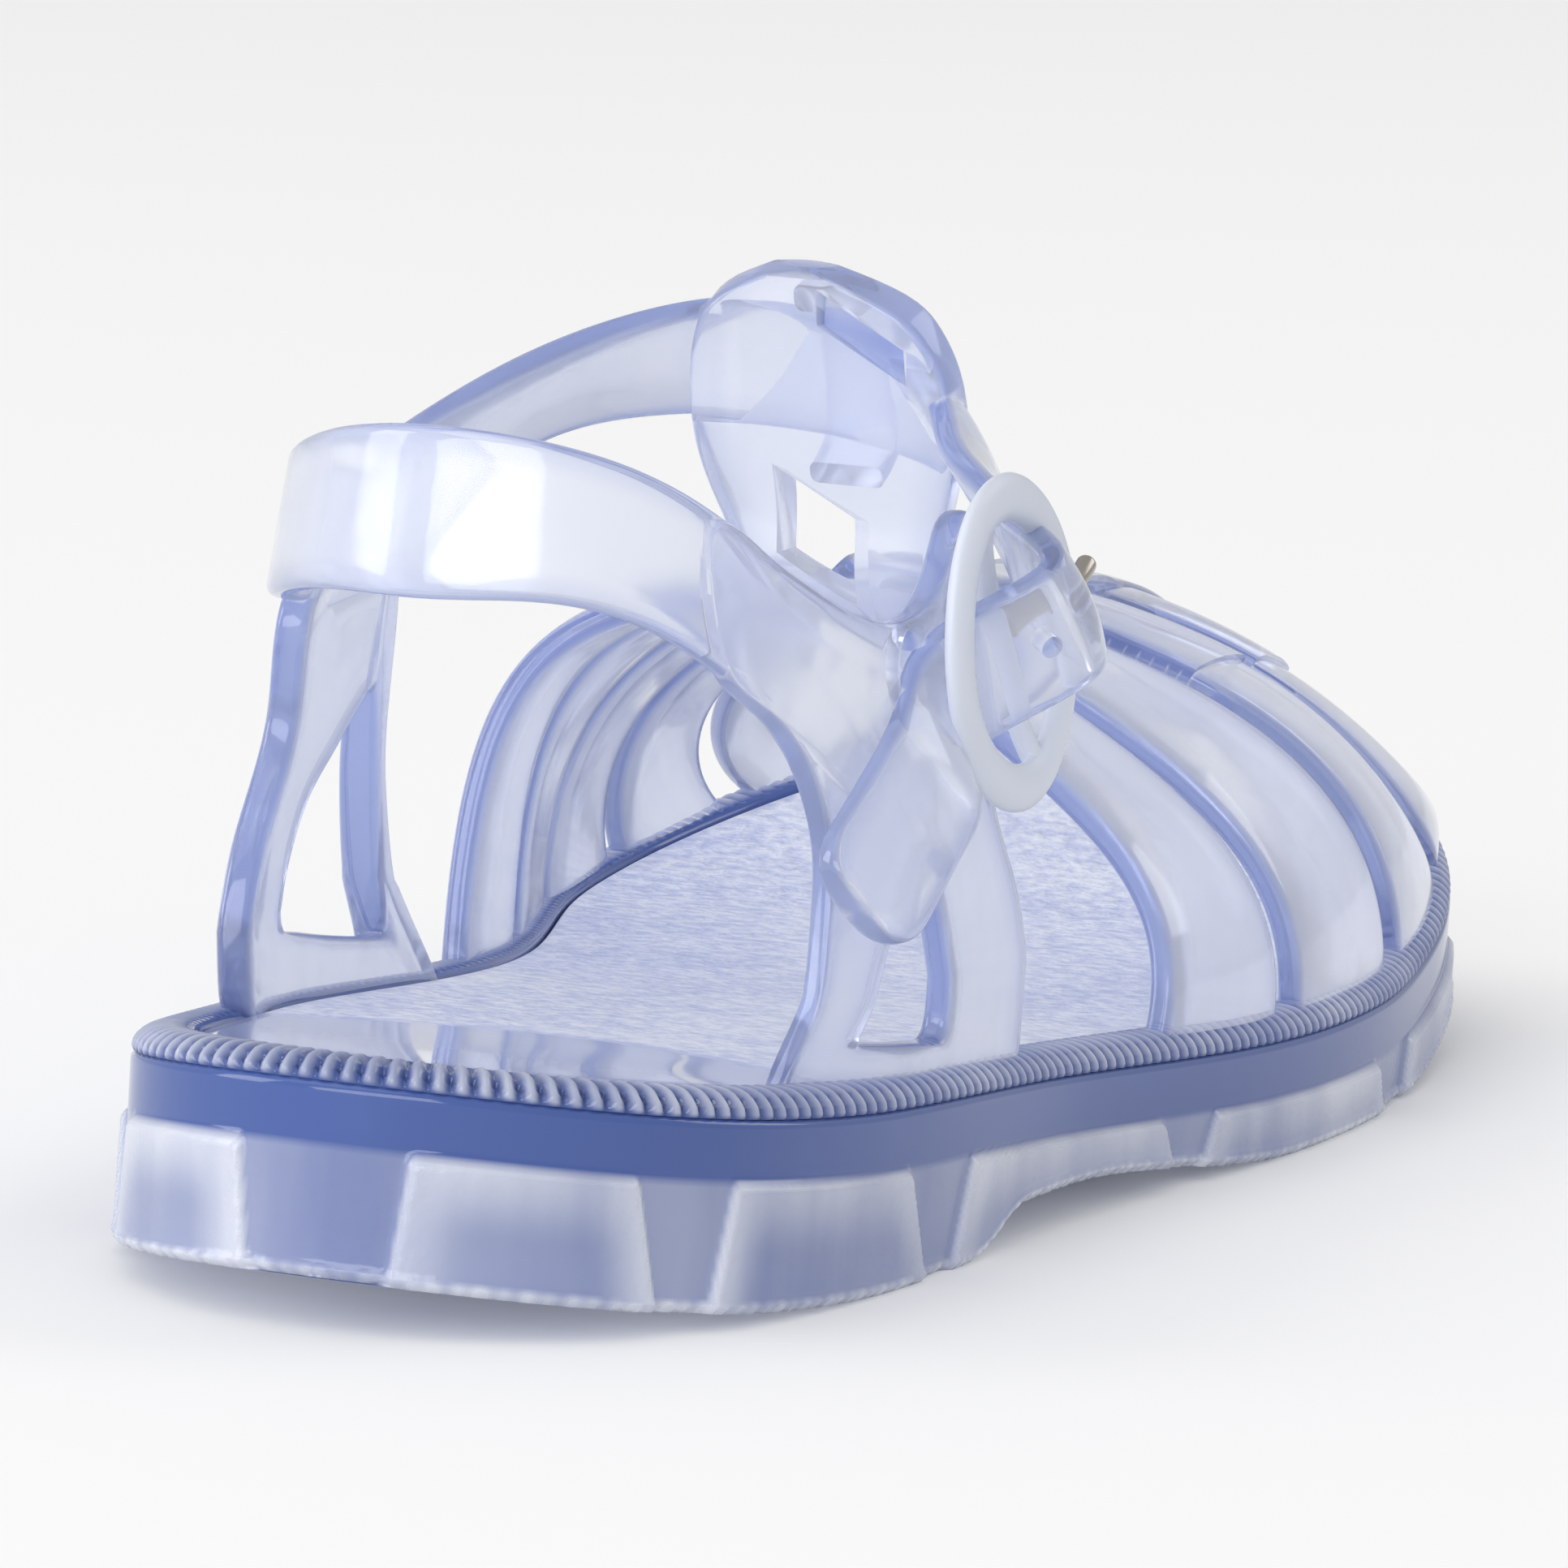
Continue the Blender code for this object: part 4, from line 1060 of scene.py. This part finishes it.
def floor_paper():
    """Matt studio paper, seamless and pale."""
    material, tree, place = new_material("matt_studio_paper")
    tooth = add_node(tree, "TexNoise", {"Vector": place, "Scale": per_metre(2.5)})
    bump = add_node(tree, "Bump", {"Height": tooth, "Strength": 0.02, "Distance": 0.5 * MM})
    shader = add_node(tree, "BsdfPrincipled", {
        "Base Color": linear(colours().floor), "Roughness": 0.9, "Specular IOR Level": 0.1, "Normal": bump})
    add_node(tree, "OutputMaterial", {"Surface": shader})
    return material


def set_attribute(piece, name, values):
    """Store one number per vertex for the material to read."""
    attribute = piece.data.attributes.new(name, "FLOAT", "POINT")
    attribute.data.foreach_set("value", np.asarray(values, np.float32))


def panel_mask(distance, height, ledge, tread, border):
    """1 on the raised panels and 0 on the ribs and band, eased over the border's width."""
    up = np.clip((height - tread) / np.maximum(ledge - tread, 0.1), 0.0, 1.0)
    mask = 1.0 - smooth((height - ledge + border) / border)
    for centre, half_top, half_low in RIBS:
        half = half_low + (half_top - half_low) * up
        mask = mask * smooth((np.abs(distance - centre) - half) / border)
    return mask


def outsole_wall(side, shares):
    """Side wall of one half as a grid (levels, columns): the outline, pushed out by the panels' relief."""
    levels = np.concatenate([np.linspace(0.0, 0.1, 6), np.linspace(0.13, 1.0, 36)])[:, None]
    station = EDGE.walk(side, shares, 0.0)[:, 1][None, :]
    tread = tread_height(station)
    edge = edge_height(station)
    height = tread + (edge - tread) * levels
    distance = shares[None, :] * EDGE.length(LATERAL)
    mask = panel_mask(distance, height, edge - BAND, tread, PANEL_BORDER)
    heart_shade_mask = panel_mask(distance, height, edge - BAND, tread, HEART_BORDER)
    chamfer = CHAMFER * (1.0 - smooth((height - tread) / CHAMFER))
    lip = LIP * (1.0 - smooth((edge - height) / LIP_FADE))
    below = 1.0 - smooth((height - edge + BAND + RIB_FADE) / RIB_FADE)
    share, fast, slow = RAGGED
    ragged = 1.0 - share + share * np.sin(fast * distance) * np.sin(slow * distance + 1.0)
    flash = (1.0 - smooth((height - tread - FLASH_FROM) / FLASH_FADE)) * ragged
    relief = mask * sizes().panel_proud + FLASH_PROUD * flash
    spot = EDGE.walk(side, np.broadcast_to(shares, height.shape), chamfer + lip - relief)
    # Painted highlight along each panel's rim, and painted shade in each panel's middle
    rim = RIM_HIGHLIGHT * 4.0 * mask * (1.0 - mask)
    pale = np.maximum(np.maximum(PANEL_PALE * mask - HEART_SHADE * heart_shade_mask + rim, RIB_PALE * below), flash)
    return np.concatenate([spot, height[..., None]], axis=-1), pale


def rungs(left, right, count, lift=None):
    """Grid between two lines of points, lifted by a function of the place where one is given."""
    share = np.linspace(0.0, 1.0, count)[1:-1, None, None]
    grid = left[None] * (1.0 - share) + right[None] * share
    if lift:
        grid[..., 2] += lift(grid)
    return grid


class SANDAL_OT_outsole(bpy.types.Operator):
    """Sole unit with its smooth band, raised panels, plain ribs and tread"""

    bl_idname = "sandal.build_outsole"
    bl_label = "Build Outsole"

    def execute(self, context):
        shares = np.linspace(0.0, 1.0, 800)
        lateral, pale_lateral = outsole_wall(LATERAL, shares)
        medial, pale_medial = outsole_wall(MEDIAL, shares)
        tread = rungs(medial[0], lateral[0], 26, self.grooves)
        top = rungs(lateral[-1], medial[-1], 6)
        pale_top = np.zeros(top.shape[:2])
        pale_tread = np.full(tread.shape[:2], TREAD_PALE)
        pale = np.concatenate([pale_lateral, pale_top, pale_medial[::-1], pale_tread])
        piece = add_grid("sole_unit", np.concatenate([lateral, top, medial[::-1], tread]), True, False)
        # Paleness from the etch, with the panels' painted highlight and shade
        set_attribute(piece, "etch_and_painted_light", pale.reshape(-1))
        weld(piece)
        pass_light(piece)
        dress(piece, "outsole", sole_pvc())
        return {"FINISHED"}

    def grooves(self, place):
        """Shallow grooves across the flats of heel and ball: the crests of a cosine along the foot."""
        y = place[..., 1]
        wave = smooth((np.cos(2.0 * np.pi * y / GROOVE_PITCH) - GROOVE_FROM) / GROOVE_EASE)
        flats = sum(smooth((y - first) / ease) * (1.0 - smooth((y - last) / ease))
                    for first, last, ease in GROOVED)
        return GROOVE_DEPTH * wave * flats


class SANDAL_OT_insole(bpy.types.Operator):
    """Footbed plate inside the welt, grained in front and smooth under the heel"""

    bl_idname = "sandal.build_insole"
    bl_label = "Build Insole"

    def execute(self, context):
        shares = np.linspace(0.0, 1.0, 300)
        inset = WELT_OUTER + WELT_WIDTH + SEAT
        section = ((0.0, 0.0), (INSOLE_THICKNESS - INSOLE_ROUND, 0.0), (INSOLE_THICKNESS, INSOLE_ROUND))
        lines = []
        for side, rows in ((LATERAL, section), (MEDIAL, section[::-1])):
            for lift, more in rows:
                spot = EDGE.walk(side, shares, inset + more)
                lines.append(np.column_stack([spot, edge_height(spot[:, 1]) + SEAT + lift]))
        top = rungs(lines[2], lines[3], 40)
        grid = np.concatenate([np.stack(lines[:3]), top, np.stack(lines[3:])])
        piece = add_grid("footbed", grid, True, False)
        x, y, _ = grid.reshape(-1, 3).T
        border = GRAIN_FROM - (x / GRAIN_BOW) ** 2
        set_attribute(piece, "grained", smooth((y - border) / GRAIN_FADE))
        weld(piece)
        dress(piece, "insole", insole_pvc())
        return {"FINISHED"}


class SANDAL_OT_welt(bpy.types.Operator):
    """Ribbed rim between the sole's edge and the feet of the straps"""

    bl_idname = "sandal.build_welt"
    bl_label = "Build Welt"

    # Section from the outer foot over the top to the inner foot: inset, lift, share of the rib depth
    SECTION = np.array([
        (0.6, 0.02, 0.0), (0.15, 0.1, 0.2), (0.0, 0.5, 0.9), (0.1, 1.0, 1.0), (0.4, 1.5, 1.0),
        (0.8, 1.9, 1.0), (1.3, 2.25, 1.0), (1.9, 2.5, 1.0), (2.6, 2.65, 1.0), (3.4, 2.7, 1.0),
        (4.2, 2.7, 0.7), (4.8, 2.5, 0.0), (5.3, 2.3, 0.0), (5.6, 2.0, 0.0), (5.6, 0.4, 0.0),
        (5.4, 0.3, 0.0), (3.0, 0.3, 0.0),
    ])

    # Ribs cut inwards below the first lift and downwards above the second
    SIDE_BELOW = 2.2
    TOP_ABOVE = 1.2
    STEPS_PER_RIB = 10

    def execute(self, context):
        rows = []
        crests = []
        for side in (LATERAL, MEDIAL):
            total = EDGE.length(side)
            shares = np.linspace(0.0, 1.0, int(total / sizes().rib_pitch) * self.STEPS_PER_RIB + 1)
            places, crest = self.section(side, shares, total)
            rows.append(places)
            crests.append(crest)
        grid = np.concatenate([rows[0], rows[1][-2:0:-1]])
        crest = np.concatenate([crests[0], crests[1][-2:0:-1]])
        piece = add_grid("ribbed_welt", grid, True, True)
        # The crests' painted highlight is kept as paleness for the sole's material
        set_attribute(piece, "etch_and_painted_light", crest.reshape(-1))
        dress(piece, None, bpy.data.materials.get("tinted_pvc_moulded") or sole_pvc())
        return {"FINISHED"}

    def section(self, side, shares, total):
        """Rim section at each share, with rounded ribs square to the edge: the size of a cosine along it."""
        inset, lift, ribbed = self.SECTION.T
        phase = np.round(total / sizes().rib_pitch) * shares[:, None]
        wave = 1.0 - np.abs(np.cos(np.pi * phase))
        groove = sizes().rib_depth * ribbed * wave
        spot = EDGE.walk(side, shares[:, None], inset + groove * (lift < self.SIDE_BELOW))
        height = edge_height(spot[..., 1]) + lift - groove * (lift > self.TOP_ABOVE)
        # Painted highlight on the crests, none in the grooves
        crest = CREST_HIGHLIGHT * ribbed * (1.0 - wave) ** 2
        return np.concatenate([spot, height[..., None]], axis=-1), crest


class SANDAL_OT_upper(bpy.types.Operator):
    """Vamp cage, rear cage, tab and ankle strap as one moulded skin"""

    bl_idname = "sandal.build_upper"
    bl_label = "Build Upper"

    def execute(self, context):
        piece = strap_body("caged_upper", heel_band())
        for rings in self.straps():
            combine(piece, strap_body("strap", rings), "UNION")
        for side, rows in ((LATERAL, LATERAL_POST), (MEDIAL, MEDIAL_POST)):
            combine(piece, strap_body("post", post_sheet(side, rows), closed=True), "UNION")
        combine(piece, cutter(quarter_slot()), "DIFFERENCE")
        combine(piece, self.tab(), "UNION")
        combine(piece, self.ankle(), "UNION")
        piece.data.shade_smooth()
        piece.data.set_sharp_from_angle(angle=np.radians(CREASE_ANGLE))
        pass_light(piece)
        dress(piece, "upper", clear_pvc())
        return {"FINISHED"}

    def straps(self):
        """Vamp straps with their raised pads, the centre strip and the tab's loop."""
        wall = sizes().strap_wall
        rings = [vamp_strap(row, 0.0, STRAP_END, wall) for row in VAMP_STRAPS]
        rings += [vamp_strap(VAMP_STRAPS[i], PAD_FROM, PAD_TO, wall + PAD_RISE) for i in PAD_STRAPS]
        return rings + [centre_strip(), tab_loop()]

    def tab(self):
        """Slotted leaf of the T-bar."""
        leaf = strap_body("tab", tab_leaf())
        for row in TAB_SLOTS:
            combine(leaf, cutter(block(row)), "DIFFERENCE")
        return leaf

    def ankle(self):
        """Ankle strap with the prong's hole and the spare hole."""
        strap = strap_body("ankle", ankle_strap())
        path, across = prong_path(30)
        combine(strap, cutter(rod(path, PRONG_RADIUS + SEAT, 1.0, across, 16)), "DIFFERENCE")
        combine(strap, cutter(strap_hole(STRAP_HOLE)), "DIFFERENCE")
        return strap


class SANDAL_OT_buckle(bpy.types.Operator):
    """Oval frame with its bar, and the prong"""

    bl_idname = "sandal.build_buckle"
    bl_label = "Build Buckle"

    def execute(self, context):
        ahead, across, out = buckle_axes()
        turn = np.linspace(0.0, 2.0 * np.pi, 144, endpoint=False)[:, None]
        pointed = np.sin(turn) * (FRAME_POINT + (1.0 - FRAME_POINT) * np.sin(turn) ** 2)
        ring = (BUCKLE_MIDDLE + ahead * BUCKLE_HALF_LONG * np.cos(turn)
                + across * BUCKLE_HALF_WIDE * pointed + out * FRAME_OUT)
        rings = rod(ring, FRAME_RADIUS, FRAME_FLAT, out, 28, closed=True)
        frame_piece = add_grid("buckle_ring", rings, True, True)
        reach = np.linspace(-1.0, 1.0, 41)[:, None]
        bar = (BUCKLE_MIDDLE + across * BUCKLE_HALF_WIDE * reach
               + out * (FRAME_OUT - BAR_DIP * (1.0 - reach ** 4)))
        combine(frame_piece, add_mesh("bar", *tube(rod(bar, BAR_RADIUS, 1.0, out, 24))), "UNION")
        frame_piece.data.shade_smooth()
        dress(frame_piece, "buckle_frame", milky_plastic())
        path, side = prong_path(80)
        tip = np.clip((np.linspace(0.0, 1.0, 80) - TIP_FROM) / (1.0 - TIP_FROM), 0.0, TIP_FULL)
        prong = add_mesh("prong", *tube(rod(path, PRONG_RADIUS * np.sqrt(1.0 - tip ** 2), 1.0, side, 24)))
        dress(prong, "buckle_prong", plated_steel())
        return {"FINISHED"}


class SANDAL_OT_stage(bpy.types.Operator):
    """Pale floor, soft studio light and the camera at the photograph's angle"""

    bl_idname = "sandal.build_stage"
    bl_label = "Build Stage"

    FLOOR_HALF = 9000.0

    def execute(self, context):
        span = np.linspace(-self.FLOOR_HALF, self.FLOOR_HALF, 3)
        x, y = np.meshgrid(span, span)
        floor = add_grid("studio_floor", np.stack([x, y, 0.0 * x], axis=-1) - ORIGIN, False, False)
        floor.data.materials.append(floor_paper())
        self.add_camera(context)
        self.add_lights(context)
        return {"FINISHED"}

    def add_camera(self, context):
        ahead = np.array([-np.sin(YAW) * np.cos(PITCH), np.cos(YAW) * np.cos(PITCH), -np.sin(PITCH)])
        right = np.array([np.cos(YAW), np.sin(YAW), 0.0])
        up = np.cross(right, ahead)
        turn = np.array([[np.cos(ROLL), -np.sin(ROLL)], [np.sin(ROLL), np.cos(ROLL)]])
        data = bpy.data.cameras.new("photo_camera")
        data.sensor_width = SENSOR_MM
        data.lens = SENSOR_MM * FOCUS_PIXELS / IMAGE_PIXELS
        data.shift_x = -SHIFT_PIXELS[0] / IMAGE_PIXELS
        data.shift_y = SHIFT_PIXELS[1] / IMAGE_PIXELS
        data.clip_start = 0.01
        data.clip_end = 50.0
        axes = np.column_stack([*(turn @ np.stack([right, up])), -ahead])
        context.scene.camera = self.set_up(context, data, axes, (EYE + ORIGIN) * MM)

    def set_up(self, context, data, axes, place):
        """Object at a place, with its own axes as the columns."""
        matrix = np.eye(4)
        matrix[:3, :3] = axes
        matrix[:3, 3] = place
        item = bpy.data.objects.new(data.name, data)
        item.matrix_world = Matrix(matrix.tolist())
        context.scene.collection.objects.link(item)
        return item

    def add_lights(self, context):
        """White room, an even overhead light, softboxes, and plain tones with no film curve."""
        world = bpy.data.worlds.new("studio_air")
        world.use_nodes = True
        background = world.node_tree.nodes["Background"]
        background.inputs["Color"].default_value = linear("#FFFFFF")
        background.inputs["Strength"].default_value = ROOM_STRENGTH
        context.scene.world = world
        self.add_light(context, "overhead_bank", "SUN", BANK_PLACE, (0.0, 0.0, 0.0),
                       energy=BANK_STRENGTH, angle=np.radians(BANK_SPREAD))
        for name, place, wide, high, power in SOFTBOXES:
            self.add_light(context, name, "AREA", place, SOFTBOX_TARGET,
                           shape="RECTANGLE", size=wide, size_y=high, energy=power)
        context.scene.view_settings.view_transform = "Standard"

    def add_light(self, context, name, kind, place, target, **settings):
        """Light with its settings, turned so that its own minus Z points at the target."""
        data = bpy.data.lights.new(name, kind)
        for key, value in settings.items():
            setattr(data, key, value)
        back = unit(np.subtract(place, target))
        side = unit(np.cross([0.0, 1.0, 0.0], back))
        self.set_up(context, data, np.column_stack([side, np.cross(back, side), back]), place)


class VIEW3D_PT_sandal(bpy.types.Panel):
    """Sidebar panel with the sandal's sizes, colours and builders"""

    bl_label = "Clear Sandal"
    bl_space_type = "VIEW_3D"
    bl_region_type = "UI"
    bl_category = "Sandal"

    def draw(self, context):
        layout = self.layout
        for group in (context.scene.sandal_sizes, context.scene.sandal_colours):
            box = layout.box()
            for key in group.__annotations__:
                box.prop(group, key)
        for operator in OPERATORS:
            layout.operator(operator.bl_idname)


OPERATORS = (SANDAL_OT_outsole, SANDAL_OT_insole, SANDAL_OT_welt, SANDAL_OT_upper, SANDAL_OT_buckle,
             SANDAL_OT_stage)
CLASSES = (SandalSizes, SandalColours, *OPERATORS, VIEW3D_PT_sandal)


def register():
    for item in CLASSES:
        bpy.utils.register_class(item)
    bpy.types.Scene.sandal_sizes = bpy.props.PointerProperty(type=SandalSizes)
    bpy.types.Scene.sandal_colours = bpy.props.PointerProperty(type=SandalColours)


def unregister():
    del bpy.types.Scene.sandal_colours
    del bpy.types.Scene.sandal_sizes
    for item in reversed(CLASSES):
        bpy.utils.unregister_class(item)


def main():
    register()
    bpy.ops.sandal.build_outsole()
    bpy.ops.sandal.build_insole()
    bpy.ops.sandal.build_welt()
    bpy.ops.sandal.build_upper()
    bpy.ops.sandal.build_buckle()
    bpy.ops.sandal.build_stage()


if __name__ == "__main__":
    main()
